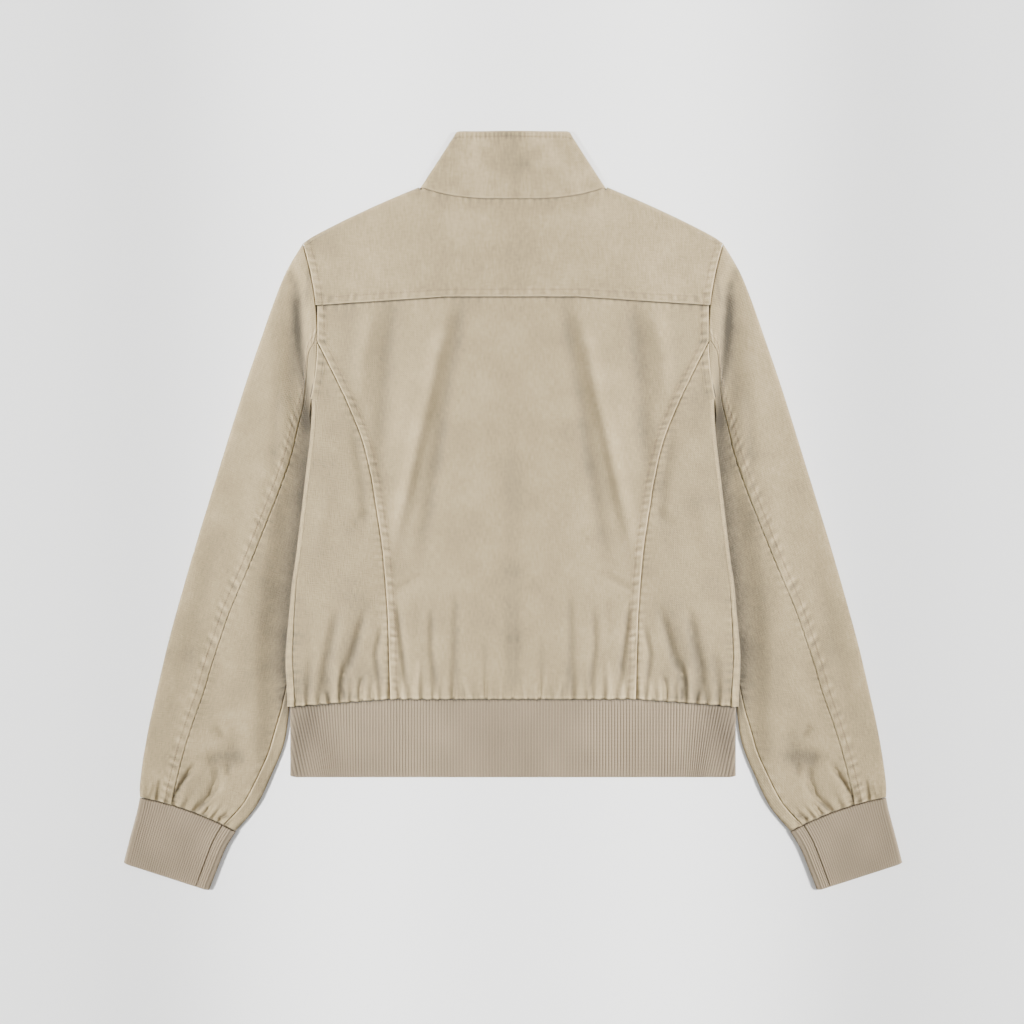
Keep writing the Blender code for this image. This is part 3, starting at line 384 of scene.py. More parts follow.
def uneven_wave(along, spacing, seed):
    """Ups and downs of uneven length and height along a line, between -1 and 1."""
    draw = np.random.default_rng(seed)
    count = int(4.0 / spacing)
    knots = np.cumsum(draw.uniform(0.55, 1.45, count)) * spacing / 2 - 0.6
    heights = draw.uniform(0.35, 1.0, count) * (-1) ** np.arange(count)
    place = np.interp(along, knots, np.arange(count))
    start = np.minimum(place.astype(int), count - 2)
    return heights[start] + (heights[start + 1] - heights[start]) * smooth(place - start, 0, 1)


def rumple(x, y, cell, seed):
    """Soft uneven hills and hollows about a cell across, between -1 and 1."""
    size = 96
    lattice = np.random.default_rng(seed).uniform(-1, 1, (size, size))
    across, up = np.asarray(x) / cell + 31.7, np.asarray(y) / cell + 47.3
    left, low = np.floor(across).astype(int), np.floor(up).astype(int)
    right_share, high_share = smooth(across - left, 0, 1), smooth(up - low, 0, 1)
    left, low = left % size, low % size
    right, high = (left + 1) % size, (low + 1) % size
    lower = lattice[low, left] * (1 - right_share) + lattice[low, right] * right_share
    upper = lattice[high, left] * (1 - right_share) + lattice[high, right] * right_share
    return lower * (1 - high_share) + upper * high_share


def hem_y(x):
    """The seam between the body and the hem band, a little uneven from its gathers."""
    across = np.abs(x)
    lumps = HEM_LUMPS * uneven_wave(across, GATHER_SPACING, seed=41)
    return np.interp(across, (HEM_CORNER_X, HEM_END[0]), (HEM_Y, HEM_END[1])) + lumps


def yoke_y(x):
    """The seam under the yoke."""
    return np.interp(np.abs(x), (YOKE_CORNER_X, YOKE_END[0]), (YOKE_SEAM_Y, YOKE_END[1]))


BODY_CURVE = spline_points(BODY_EDGE)
PRINCESS_CURVE = spline_points(PRINCESS)


def body_x(y):
    """The body's side fold."""
    return np.interp(y, BODY_CURVE[:, 0], BODY_CURVE[:, 1])


def side_seam_x(y):
    """The seam between the back and a front, a little inside the side fold."""
    return body_x(y) - np.interp(y, BODY_CURVE[:, 0], BODY_CURVE[:, 2])


def princess_x(y):
    """The curved seam between the centre panel and a side panel."""
    return np.interp(y, PRINCESS_CURVE[:, 0], PRINCESS_CURVE[:, 1])


def sleeve_section(place):
    """A sleeve's outer, seam and inner points, the share at which the seam runs and the width."""
    section = spline(SLEEVE, place)
    outer, seam, inner = section[..., 0:2], section[..., 2:4], section[..., 4:6]
    before = np.linalg.norm(seam - outer, axis=-1)
    after = np.linalg.norm(inner - seam, axis=-1)
    return outer, seam, inner, before / (before + after), np.linalg.norm(inner - outer, axis=-1)


def sleeve_plan(place, share):
    """Points of a sleeve seen from above: place counts sections, share runs from outer to inner."""
    outer, seam, inner, split, _ = sleeve_section(place)
    share, split = np.asarray(share)[..., None], split[..., None]
    return (
        outer * (share - split) * (share - 1) / split
        + seam * share * (share - 1) / (split * (split - 1))
        + inner * share * (share - split) / (1 - split)
    )


ARMHOLE_CURVE = sleeve_plan(np.zeros(41), np.linspace(1, 0, 41))
HIDDEN_FOLD = spline(SLEEVE, np.arange(FIRST_HIDDEN, LAST_HIDDEN, 0.25))[:, 4:]
HIDDEN_XS, HIDDEN_YS = HIDDEN_FOLD[::-1].T


def armhole_x(y):
    """The armhole's seam."""
    return np.interp(y, ARMHOLE_CURVE[:, 1], ARMHOLE_CURVE[:, 0])


def over_sleeve(x, y, ramp):
    """1 where the body lies on the hidden part of a sleeve, falling to 0 beside it."""
    x = np.abs(x)
    inside = (y > HIDDEN_YS[0]) & (y < HIDDEN_YS[-1]) & (x > np.interp(y, HIDDEN_YS, HIDDEN_XS))
    return np.where(inside, 1.0, smooth(distance(HIDDEN_FOLD, x, y)[0], *ramp))


# The zip's slider, at the top of the closure under the jacket, lifts the cloth above it.
TAPE_X = 0.0100
SLIDER_RISE = 0.00415
RISE_SPAN = (0.034, 0.6 * TAPE_X)
RISE_LEVELS = (0.255, 0.290, 0.318, 0.338, 0.362, 0.368)
RISE_SHARES = (0.0, 0.25, 0.62, 1.0, 1.0, 0.96)


def zip_rise(x, y):
    """How far the slider lifts the cloth."""
    return SLIDER_RISE * np.interp(y, RISE_LEVELS, RISE_SHARES) * smooth(np.abs(x), *RISE_SPAN)


def front_z(x, y):
    """The inner face of the layer that lies on the floor."""
    return CLOTH + HIDDEN_TOP * over_sleeve(x, y, FLOOR_RAMP) + zip_rise(x, y)


def back_z(x, y):
    """The inner face of the layer that is seen, with its folds and its gathers over the hem."""
    across = np.abs(x)
    foot = y - hem_y(x)
    air = BODY_AIR * (AIR_AT_HEM + AIR_GAINED * smooth(foot, *GAIN_SPAN))
    air = air + creased(BACK_CREASES, across, y) + creased(HEM_CREASES, across, y)
    reach = GATHER_REACH + REACH_CHANGE * uneven_wave(across, REACH_SPACING, seed=12)
    height = GATHER_HEIGHT * (1 - SIDE_LOSS * smooth(across, *SIDE_SPAN))
    air = air + height * uneven_wave(across, GATHER_SPACING, seed=11) * beside(foot, reach)
    tucks = uneven_wave(across, TUCK_SPACING, seed=16) * beside(foot, TUCK_REACH)
    air = air + TUCK_HEIGHT * tucks
    for hill, cell, seed in SOFT_HILLS:
        air = air + hill * rumple(across, y, cell, seed)
    rise = np.maximum(HIDDEN_TOP * over_sleeve(x, y, BACK_RAMP), zip_rise(x, y))
    return CLOTH + rise + np.maximum(air, LEAST_AIR)


def painted_shading_and_mottle(x, y):
    """Painted shade in the folds' hollows, painted light on their ridges and gathers, painted shade
    towards the sides and more low down, and a random mottle.
    """
    across = np.abs(x)
    foot = y - hem_y(x)
    tone = creased(BACK_CREASES, across, y, "tone") + creased(HEM_CREASES, across, y, "tone")
    gathers = uneven_wave(across, GATHER_SPACING, seed=11) * beside(foot, GATHER_SHADING_REACH)
    tucks = uneven_wave(across, TUCK_SPACING, seed=16) * beside(foot, TUCK_REACH)
    side_shade = SIDE_PAINTED_SHADE * smooth(across, *SIDE_SHADE_SPAN) * (1 + 0.5 * smooth(y, *LOW_SPAN))
    mottle = MOTTLE * rumple(across, y, MOTTLE_CELL, seed=15)
    return tone - side_shade + GATHER_PAINTED_SHADING * (gathers + TUCK_SHADING_SHARE * tucks) + mottle


def lapped(gap, along, seed, reach=PUCKER_REACH, slant=PUCKER_SLANT, spacing=PUCKER_SPACING):
    """Relief of a turned, stitched edge by the distance to it: its band, then its fine relief."""
    band = WELT * (smooth(gap, WELT_WIDTH + WELT_SLOPE, WELT_WIDTH) - smooth(gap, WELT_RIM, 0.0))
    sink = -STITCH_SINK * beside(gap - STITCH_INSET, STITCH_GROOVE)
    window = smooth(gap, reach, 0.62 * reach) * smooth(gap, 0.0004, 0.0030)
    strength = 0.75 + 0.45 * uneven_wave(along, 0.024, seed + 100)
    pucker = uneven_wave(along + slant * gap, spacing, seed) + 0.1
    return band, sink + PUCKER_HEIGHT * strength * pucker * window


def tucked(gap, along, seed, depth=SEAM_DIP):
    """Relief beside a plain seam, or one that the other side laps over: its dip, then puckers."""
    pucker = uneven_wave(along, PUCKER_SPACING, seed) * beside(gap, 0.006)
    return -depth * beside(gap, SEAM_DIP_WIDTH), 0.6 * PUCKER_HEIGHT * pucker


def edge_fade_and_highlight(gap):
    """The rim of a folded edge is paler: partly faded by washing, partly a painted highlight."""
    return PALE_EDGE * beside(gap, PALE_EDGE_WIDTH)


def hem_turn(foot):
    """Relief where the cloth turns in to the hem band, by the height above its seam, with painted
    shade in the seam's line and a paler band just above it.
    """
    wear_and_painted_shading = 0.5 * beside(foot - 0.0024, 0.0012) - 1.8 * beside(foot, 0.0008)
    return -0.0011 * beside(foot, 0.0010), wear_and_painted_shading


def spread(width, step, insets=EDGE_INSETS):
    """Rows of distances across a strip, close together at both of its edges."""
    width = np.atleast_1d(width)[:, None]
    scale = np.minimum(1.0, width / (2.4 * insets[-1]))
    near = insets * scale
    inside_count = max(int((width.max() - 2 * insets[-1]) / step), 3)
    inside = near[:, -1:] + (width - 2 * near[:, -1:]) * np.linspace(0, 1, inside_count + 1)[1:-1]
    return np.hstack((near, inside, width - near[:, ::-1]))


def stack(*parts):
    """Points from their coordinates."""
    return np.stack(np.broadcast_arrays(*parts), axis=-1)


def coarse_lining(index, step):
    """Faces of a wall's inner side, each for several outer ones and meeting the rim's points."""
    rows, columns = index.shape
    row_marks = [*range(0, rows - 1, step), rows - 1]
    column_marks = [*range(0, columns - 1, step), columns - 1]
    faces = []
    for low, high in zip(row_marks, row_marks[1:]):
        for left, right in zip(column_marks, column_marks[1:]):
            bottom = index[low, left:right if low == 0 else left + 1]
            east = index[low:high if right == columns - 1 else low + 1, right]
            top = index[high, right:left if high == rows - 1 else right - 1:-1]
            west = index[high:low if left == 0 else high - 1:-1, left]
            faces.append(np.concatenate((bottom, east, top, west))[::-1].tolist())
    return faces


def shell(name, node, inner, outer, grain, wear_and_painted_shading, finish, side=1, kept=None, lining_step=5):
    """A wall of cloth between two grids of points; it stands for a node and rides with the jacket.

    grain is the cloth's own coordinates, and the level of rubbing and painted shading runs from
    -1, painted shade, to 1, faded or painted light. Without a mask of kept points, the hidden
    inner face has one polygon for several of the outer ones.
    """
    inner, outer = inner * (side, 1, 1), outer * (side, 1, 1)
    rows, columns = outer.shape[:2]
    count = rows * columns
    index = np.arange(count).reshape(rows, columns)
    quads = np.stack((index[:-1, :-1], index[:-1, 1:], index[1:, 1:], index[1:, :-1]), axis=-1)
    if kept is None:
        quads = quads.reshape(-1, 4)
        lining = coarse_lining(index + count, lining_step)
    else:
        quads = quads[kept[:-1, :-1] & kept[:-1, 1:] & kept[1:, 1:] & kept[1:, :-1]]
        lining = (quads[:, ::-1] + count).tolist()
    sides = np.concatenate([quads[:, (i, (i + 1) % 4)] for i in range(4)])
    open_sides = sides[~np.isin(sides @ (count, 1), sides @ (1, count))]
    rim = np.column_stack((open_sides[:, ::-1], open_sides + count))
    faces = quads.tolist() + rim.tolist() + lining
    used, flat = np.unique(np.concatenate(faces), return_inverse=True)
    ends = np.cumsum([len(face) for face in faces])[:-1]
    faces = [face.tolist() for face in np.split(flat.reshape(-1), ends)]
    points = np.concatenate((outer.reshape(-1, 3), inner.reshape(-1, 3)))[used]
    mesh = bpy.data.meshes.new(name)
    mesh.from_pydata(points.tolist(), [], faces)
    mesh.validate()
    corners = outer.reshape(-1, 3)[quads]
    wall = (outer - inner).reshape(-1, 3)[quads[:, 0]]
    facing = np.cross(corners[:, 1] - corners[:, 0], corners[:, 3] - corners[:, 0])
    if (facing * wall).sum() < 0:
        mesh.flip_normals()
    mesh.shade_smooth()
    for label, kind, key, values in (("grain", "FLOAT_VECTOR", "vector", grain),
                                     ("wear_and_painted_shading", "FLOAT", "value", wear_and_painted_shading)):
        values = np.broadcast_to(values, outer.shape if label == "grain" else outer.shape[:2])
        values = values.reshape(count, -1)
        values = np.concatenate((values, values))[used].astype(np.float32)
        mesh.attributes.new(label, kind, "POINT").data.foreach_set(key, values.ravel())
    mesh.materials.append(finish)
    made = put(name, mesh)
    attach(made, "jacket")
    if node:
        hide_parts(node)
    return made


# Garment-washed cotton twill, piece-dyed and softly milled: matt, with a faint bloom of lifted
# fibres, broad patches from the wash and thin slubs down the warp. Its colour ramp also carries
# painted light and shade: the darker stops paint the shade in hollows, folds and seams, and the
# pale ridges and edges are partly rubbed by the wash and partly a painted highlight. Its diagonal
# is about 0.5 mm across, and is drawn three times as wide.
TWILL_COLOURS = {0.0: "484135", 0.3: "746851", 0.6: "9A8966", 0.9: "B9A682"}
TWILL_RIB = 0.0015
SLUB_WIDTH, SLUB_LENGTH, WEFT_SHORTER = 0.0011, 0.0080, 1.6
WASH_PATCH = 0.045
WAVE_PERIOD = 2 * math.pi / 20   # of Blender's wave texture, along its axis


def textured(tree, grain, kind, scale, inputs, **settings):
    """A texture in the cloth's own coordinates; scale says how many of it fill a metre."""
    at = add(tree, "ShaderNodeVectorMath", {0: grain, 1: scale}, operation="MULTIPLY").outputs[0]
    return add(tree, kind, {"Vector": at, "Scale": 1.0, **inputs}, **settings)


def mixed(tree, level, textures):
    """The level of rubbing and painted shading, with each texture's lights and darks added in its
    measure.
    """
    for texture, measure in textures:
        centred = add(tree, "ShaderNodeMath", {0: texture.outputs["Fac"], 1: -0.5}, operation="ADD")
        level = add(tree, "ShaderNodeMath", {0: centred.outputs[0], 1: measure, 2: level},
                    operation="MULTIPLY_ADD").outputs[0]
    return level


twill, tree, shader = new_material("garment_washed_cotton_twill", {
    "Roughness": 0.92, "Specular IOR Level": 0.25, "Sheen Weight": 0.12, "Sheen Roughness": 0.6})
grain = add(tree, "ShaderNodeAttribute", attribute_name="grain").outputs["Vector"]
level = add(tree, "ShaderNodeAttribute", attribute_name="wear_and_painted_shading").outputs["Fac"]
patch = textured(tree, grain, "ShaderNodeTexNoise", (1 / WASH_PATCH,) * 3, {"Detail": 3.0})
slub = textured(tree, grain, "ShaderNodeTexNoise", (1 / SLUB_WIDTH, 1 / SLUB_LENGTH, 1.0),
                {"Detail": 1.0})
weft = textured(tree, grain, "ShaderNodeTexNoise",
                (1 / SLUB_LENGTH * WEFT_SHORTER, 1 / SLUB_WIDTH, 1.0), {"Detail": 1.0})
diagonal = 2 * WAVE_PERIOD / (TWILL_RIB * math.sqrt(2))
rib = textured(tree, grain, "ShaderNodeTexWave", (diagonal,) * 3,
               {"Distortion": 0.8, "Detail": 1.0}, bands_direction="DIAGONAL")
level = mixed(tree, level, ((patch, 1.1), (slub, 1.15), (weft, 0.85), (rib, 0.20)))
place = add(tree, "ShaderNodeMath", {0: level, 1: 0.3, 2: 0.6}, operation="MULTIPLY_ADD")
ramp = add(tree, "ShaderNodeValToRGB", {"Fac": place.outputs[0]}, TWILL_COLOURS)
tree.links.new(ramp.outputs["Color"], shader.inputs["Base Color"])
slubs = add(tree, "ShaderNodeMath", {0: slub.outputs["Fac"], 1: weft.outputs["Fac"]},
            operation="ADD")
relief = add(tree, "ShaderNodeMath", {0: rib.outputs["Fac"], 1: 0.35, 2: slubs.outputs[0]},
             operation="MULTIPLY_ADD")
bump = add(tree, "ShaderNodeBump",
           {"Height": relief.outputs[0], "Strength": 0.5, "Distance": 0.0005})
tree.links.new(bump.outputs["Normal"], shader.inputs["Normal"])

# Core-spun sewing thread of polyester and cotton, a little darker and redder than the cloth. Its
# tight twist gives it a dull lustre and a faint change of tone from ply to ply.
THREAD_COLOURS = {0.0: "7A654A", 1.0: "937A5A"}
thread, tree, shader = new_material("core_spun_thread", {"Roughness": 0.6})
ply = add(tree, "ShaderNodeTexNoise", {"Scale": 900.0, "Detail": 2.0})
ramp = add(tree, "ShaderNodeValToRGB", {"Fac": ply.outputs["Fac"]}, THREAD_COLOURS)
tree.links.new(ramp.outputs["Color"], shader.inputs["Base Color"])

# A stitch's rings: their place along it, their girth and their height over the stitch's line.
STITCH_RINGS = ((-0.5, 0.25, -0.00022), (-0.32, 0.9, -0.00002), (0.0, 1.0, 0.00006),
                (0.32, 0.9, -0.00002), (0.5, 0.25, -0.00022))
STITCH_LENGTH = 0.0026
STITCH_PITCH = 0.0033
STITCH_LIFT = 0.00012
THREAD_HALF_WIDTH, THREAD_HALF_HEIGHT = 0.000275, 0.000198


def short_bars(name, bars, finish, turn=1):
    """Small closed bars as one mesh: each is a run of rings of six points. turn -1 mirrors them."""
    points, faces = [], []
    for bar in bars:
        first, last = len(points), len(points) + 6 * (len(bar) - 1)
        points.extend(tuple(point) for ring in bar for point in ring)
        for start in range(first, last, 6):
            for k in range(6):
                a, b = start + k, start + (k + 1) % 6
                faces.append((a, b, b + 6, a + 6)[::turn])
        faces.append([first + k for k in range(5, -1, -1)][::turn])
        faces.append([last + k for k in range(6)][::turn])
    mesh = bpy.data.meshes.new(name)
    mesh.from_pydata(points, [], faces)
    mesh.materials.append(finish)
    made = put(name, mesh)
    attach(made, "jacket")
    return made


def topstitch(name, *lines):
    """Rows of thread stitches, each lying on the cloth with both ends sunk into it."""
    turns = np.linspace(0, 2 * math.pi, 6, endpoint=False)[:, None]
    stitches = []
    for line in lines:
        run = run_along(line)
        for middle in np.arange(STITCH_PITCH / 2, run[-1] - STITCH_PITCH / 2, STITCH_PITCH):
            start, end = [
                np.array([np.interp(spot, run, line[:, k]) for k in range(3)])
                for spot in (middle - 0.5 * STITCH_LENGTH, middle + 0.5 * STITCH_LENGTH)
            ]
            forward = (end - start) / np.linalg.norm(end - start)
            across = np.cross((0, 0, 1), forward)
            across /= np.linalg.norm(across)
            stitches.append([
                start + (end - start) * (share + 0.5) + (0, 0, lift + STITCH_LIFT)
                + across * np.cos(turns) * THREAD_HALF_WIDTH * girth
                + np.array((0, 0, 1)) * np.sin(turns) * THREAD_HALF_HEIGHT * girth
                for share, girth, lift in STITCH_RINGS
            ])
    made = short_bars(name, stitches, thread)
    made.data.shade_smooth()
    return made


def row_y(level, x):
    """A row of the body bends with the hem at its foot and is level at its head."""
    climb = np.minimum((level - BACK_FOOT) / (BACK_HEAD - BACK_FOOT), 1.0)
    return level + (hem_y(x) - HEM_Y) * (1 - climb)


def centre_edge_x(level):
    """The centre panel's edge, at the princess seam and then at the armhole."""
    return np.minimum(princess_x(level), armhole_x(level)) - SEAM_GAP / 2


def centre_row_y(level, x):
    """A row of the centre panel also bends with the yoke's seam at its head."""
    return row_y(level, x) + (yoke_y(x) - YOKE_END[1]) * smooth(level, ARMPIT_Y, BACK_HEAD)


def centre_relief(x, y, edge):
    """Height over the centre panel's plain outer face, and its rubbing and painted shading."""
    gap = edge - np.abs(x)
    to_yoke = yoke_y(x) - y
    band, fine = lapped(gap, y * 1.05, seed=21)
    under_yoke, yoke_pucker = tucked(to_yoke, np.abs(x), seed=22)
    at_hem, hem_painted_shade_and_pale_band = hem_turn(y - hem_y(x))
    # Painted shading on the puckers, a pale edge partly painted as highlight, painted shade under
    # the yoke.
    wear_and_painted_shading = (fine + yoke_pucker) / PUCKER_SHADING_STEP + edge_fade_and_highlight(gap)
    wear_and_painted_shading = wear_and_painted_shading - 2.2 * beside(to_yoke, 0.0012) + hem_painted_shade_and_pale_band
    return band + fine + under_yoke + yoke_pucker + at_hem, wear_and_painted_shading


level = BACK_FOOT + spread(BACK_HEAD - BACK_FOOT, ROW_STEP)[0][:, None]
edge = centre_edge_x(level)
x = -edge + spread(2 * edge[:, 0], COLUMN_STEP)
y = centre_row_y(level, x)
bottom = back_z(x, y)
relief, wear_and_painted_shading = centre_relief(x, y, edge)
back_centre = shell("back_centre_cloth", "back_centre", stack(x, y, bottom),
                    stack(x, y, bottom + CLOTH + relief), stack(x, y, 0.0),
                    wear_and_painted_shading + painted_shading_and_mottle(x, y), twill)
stitch_level = np.linspace(BACK_FOOT + 0.002, 0.156, 260)
stitch_edge = centre_edge_x(stitch_level)
stitch_x = stitch_edge - STITCH_INSET
stitch_y = centre_row_y(stitch_level, stitch_x)
height = back_z(stitch_x, stitch_y) + CLOTH + centre_relief(stitch_x, stitch_y, stitch_edge)[0]
rows_of_thread = [topstitch(f"princess_topstitch_{hand}", stack(side * stitch_x, stitch_y, height))
                  for side, hand in HANDS]

SIDE_SEAM_FOOT = (-0.050, -0.110)   # from where its seam shows outside the fold
SIDE_SEAM_DIP = 0.0006
level = BACK_FOOT + spread(SIDE_HEAD - BACK_FOOT, ROW_STEP)[0][:, None]
near = princess_x(level) + SEAM_GAP / 2
armhole = armhole_x(row_y(level, armhole_x(level)))
far = np.where(level < ARMPIT_Y, side_seam_x(level), armhole) - SEAM_GAP / 2
across = spread((far - near)[:, 0], COLUMN_STEP)
x = near + across
y = row_y(level, x)
bottom = back_z(x, y)
far_gap = far - x
at_princess, princess_pucker = tucked(across, y * 1.05, seed=23)
at_side, side_pucker = tucked(far_gap, y, 24, SIDE_SEAM_DIP)
armhole_band, armhole_fine = lapped(far_gap, y, seed=25)
lower_side = smooth(y, *SIDE_SEAM_FOOT)
at_side, side_pucker = at_side * lower_side, side_pucker * lower_side
above = smooth(level, ARMPIT_Y - ARMPIT_BLEND, ARMPIT_Y + ARMPIT_BLEND)
at_hem, hem_painted_shade_and_pale_band = hem_turn(y - hem_y(x))
relief = (at_princess + princess_pucker + above * (armhole_band + armhole_fine)
          + (1 - above) * (at_side + side_pucker) + at_hem)
# Painted shading on the puckers, painted shade along the princess seam and low by the side seam, and
# a pale armhole edge, partly a painted highlight.
wear_and_painted_shading = (princess_pucker + above * armhole_fine + (1 - above) * side_pucker) / PUCKER_SHADING_STEP
wear_and_painted_shading = wear_and_painted_shading - 0.7 * beside(across, 0.0008) + edge_fade_and_highlight(far_gap) * (above - 0.4 * lower_side)
wear_and_painted_shading = wear_and_painted_shading + hem_painted_shade_and_pale_band + painted_shading_and_mottle(x, y)
for side, hand in HANDS:
    piece = shell(f"back_side_{hand}_cloth", f"back_side_{hand}", stack(x, y, bottom),
                  stack(x, y, bottom + CLOTH + relief), stack(x + 0.3 * side, y, 0.0), wear_and_painted_shading,
                  twill, side)


# Yoke: one piece of the same twill, 105 mm deep, lapped over the back's head and topstitched. It
# folds forward over both shoulders and ends a little way down the front.
FOLD_WIDTH = 0.0026
FOLD_TURNS = np.linspace(90, -90, 13)
NECK_X = 0.0902
NECK_Y = 0.3143
NECK_DIP = 0.0117
NECK_POWER = 3
NECK_SHARE = 0.45
NECK_END_INSET = 0.0008
FRONT_NECK_Y = 0.2550
WING_X, WING_Y = 0.0675, 0.2245
SHOULDER = ((0.0912, 0.3138), (0.1200, 0.3017), (0.1460, 0.2900), (0.1702, 0.2784),
            (0.1925, 0.2668), (0.2037, 0.2595))
YOKE_DEPTH = 0.100


def fold_plan(angle, wall):
    """Where a wall in a side fold is, inward from the fold, and which way it faces outward."""
    turn = np.radians(angle)
    return wall + FOLD_WIDTH * (1 - np.cos(turn)), np.cos(turn), np.sin(turn)


def wall_at(x, y, out, across, up, top, bottom, wall, swell=0.0):
    """A tube's inner and outer points. across and up turn from level to upright through a fold."""
    height = (top + bottom) / 2 + up * (top - bottom) / 2
    thick = wall + swell * np.clip(up, 0, 1)
    inner = stack(x, y, height)
    outer = stack(x + out[0] * across * thick, y + out[1] * across * thick, height + up * thick)
    return inner, outer


def strung(*parts):
    """One row across a tube, from rows of numbers and from pairs of a number and its count."""
    return np.hstack([np.full((1, part[1]), float(part[0])) if isinstance(part, tuple) else part
                      for part in parts])


def neck_y(x):
    """The seam of the collar on the back."""
    return NECK_Y - NECK_DIP * (1 - (np.abs(x) / NECK_X) ** NECK_POWER)


def front_neck_y(x):
    """The seam of the collar on the fronts."""
    return FRONT_NECK_Y + (NECK_Y - FRONT_NECK_Y) * (np.abs(x) / NECK_X) ** NECK_POWER


shoulder_slope = np.subtract(SHOULDER[-1], SHOULDER[0])
shoulder_out = np.array((-shoulder_slope[1], shoulder_slope[0])) / np.hypot(*shoulder_slope)
level_inset = fold_plan(90, CLOTH)[0]
half_shares = np.concatenate((
    np.linspace(0, NECK_SHARE, 52),
    np.linspace(NECK_SHARE, 1 - EDGE_INSETS[-1] / YOKE_END[0], 56)[1:],
    1 - EDGE_INSETS[-2::-1] / YOKE_END[0],
))
shares = np.concatenate((-half_shares[:0:-1], half_shares))[None, :]
hand_of, share = np.sign(shares), np.abs(shares)
climbs = spread(YOKE_DEPTH, ROW_STEP)[0][:-1, None] / YOKE_DEPTH
wings = np.linspace(0, 1, 9)[1:, None]

foot_x = share * (YOKE_END[0] - SEAM_GAP / 2)
foot_y = yoke_y(foot_x) + SEAM_GAP
at_neck = share < NECK_SHARE - 1e-6
along = np.clip((share - NECK_SHARE) / (1 - NECK_SHARE), 0, 1)
shoulder = spline(SHOULDER, along * (len(SHOULDER) - 1)) - shoulder_out * level_inset
neck_end_x = (NECK_X - NECK_END_INSET) * share / NECK_SHARE
head_x = np.where(at_neck, neck_end_x, shoulder[..., 0] - SEAM_GAP * smooth(share, 0.9, 1))
head_y = np.where(at_neck, neck_y(neck_end_x) - SEAM_GAP, shoulder[..., 1])
back_x = foot_x + (head_x - foot_x) * climbs
back_y = foot_y + (head_y - foot_y) * climbs
straight = foot_x[0, -1] + (head_x[0, -1] - foot_x[0, -1]) * climbs
back_x = back_x + (armhole_x(back_y) - SEAM_GAP / 2 - straight) * share**6
fold_inset, fold_across, fold_up = fold_plan(FOLD_TURNS[:, None], CLOTH)
fold_x = head_x + shoulder_out[0] * (level_inset - fold_inset)
fold_y = head_y + shoulder_out[1] * (level_inset - fold_inset)
end_x = WING_X + SEAM_GAP + (armhole_x(WING_Y) - 2 * SEAM_GAP - WING_X) * along
end_y = front_neck_y(WING_X) + (WING_Y - front_neck_y(WING_X)) * along
under_x = head_x + (end_x - head_x) * wings
under_y = np.minimum(head_y + (end_y - head_y) * wings, front_neck_y(under_x) - 2 * SEAM_GAP)
x = np.vstack((back_x, fold_x, under_x))
y = np.vstack((back_y, fold_y, under_y))
across = strung((0, len(climbs)), fold_across.T, (0, len(wings))).T
up = strung((1, len(climbs)), fold_up.T, (-1, len(wings))).T
foot_gap = y - foot_y
armhole_gap = np.maximum(armhole_x(y) - SEAM_GAP / 2 - x, 0)
neck_gap = np.where(share < NECK_SHARE + 0.02, np.abs(neck_y(x) - SEAM_GAP - y), 1.0)
foot_band, foot_fine = lapped(foot_gap, x, seed=31)
armhole_band, armhole_fine = lapped(armhole_gap, y, seed=32)
neck_dip, neck_fine = tucked(neck_gap, x, seed=33)
foot_fine = foot_fine * 0.75 * smooth(armhole_gap, 0.004, 0.012)
relief = np.maximum(foot_band, armhole_band) + foot_fine + armhole_fine + neck_dip + neck_fine
relief = relief + 0.00016 * rumple(x, y, 0.016, seed=34) * smooth(foot_gap, 0, 0.02)
# Painted shading on the puckers, pale edges that are partly painted highlight, painted shade along
# and beside the collar's seam, and a random mottle.
wear_and_painted_shading = (foot_fine + armhole_fine + neck_fine) / PUCKER_SHADING_STEP
wear_and_painted_shading = wear_and_painted_shading + edge_fade_and_highlight(foot_gap) + edge_fade_and_highlight(armhole_gap)
wear_and_painted_shading = wear_and_painted_shading - 0.7 * beside(neck_gap, 0.0009) - 0.25 * beside(neck_gap, 0.012)
wear_and_painted_shading = wear_and_painted_shading + MOTTLE * rumple(x, y, 0.016, seed=35) + 0.12 * rumple(x, y, 0.034, seed=36)
facing_up = np.clip(up, 0, 1)
out = shoulder_out[:, None, None] * (hand_of, np.ones_like(hand_of))
inner, outer = wall_at(x * hand_of, y, out, across, up, back_z(x, y), front_z(x, y), CLOTH, relief)
kept = (np.arange(len(x)) <= len(climbs))[:, None] | (share > NECK_SHARE - 1e-6)
yoke = shell("back_yoke_cloth", "back_yoke", inner, outer, stack(x * hand_of, y, 0.7),
             wear_and_painted_shading * facing_up - 0.3 * RIM_SHADE * (1 - facing_up), twill, kept=kept)
stitch_x = np.linspace(-1, 1, 400) * (1 - 0.010 / YOKE_END[0]) * YOKE_END[0]
stitch_y = yoke_y(stitch_x) + SEAM_GAP + STITCH_INSET
band, fine = lapped(stitch_y - yoke_y(stitch_x) - SEAM_GAP, np.abs(stitch_x), seed=31)
height = back_z(stitch_x, stitch_y) + CLOTH + band + fine
rows_of_thread = [stack(stitch_x, stitch_y, height)]
stitch_y = np.linspace(SIDE_HEAD + 0.008, SHOULDER[-1][1] - 0.004, 120)
stitch_x = armhole_x(stitch_y) - STITCH_INSET
height = back_z(stitch_x, stitch_y) + CLOTH + WELT - STITCH_SINK
rows_of_thread += [stack(side * stitch_x, stitch_y, height) for side in (-1, 1)]
topstitch("yoke_topstitch", *rows_of_thread)


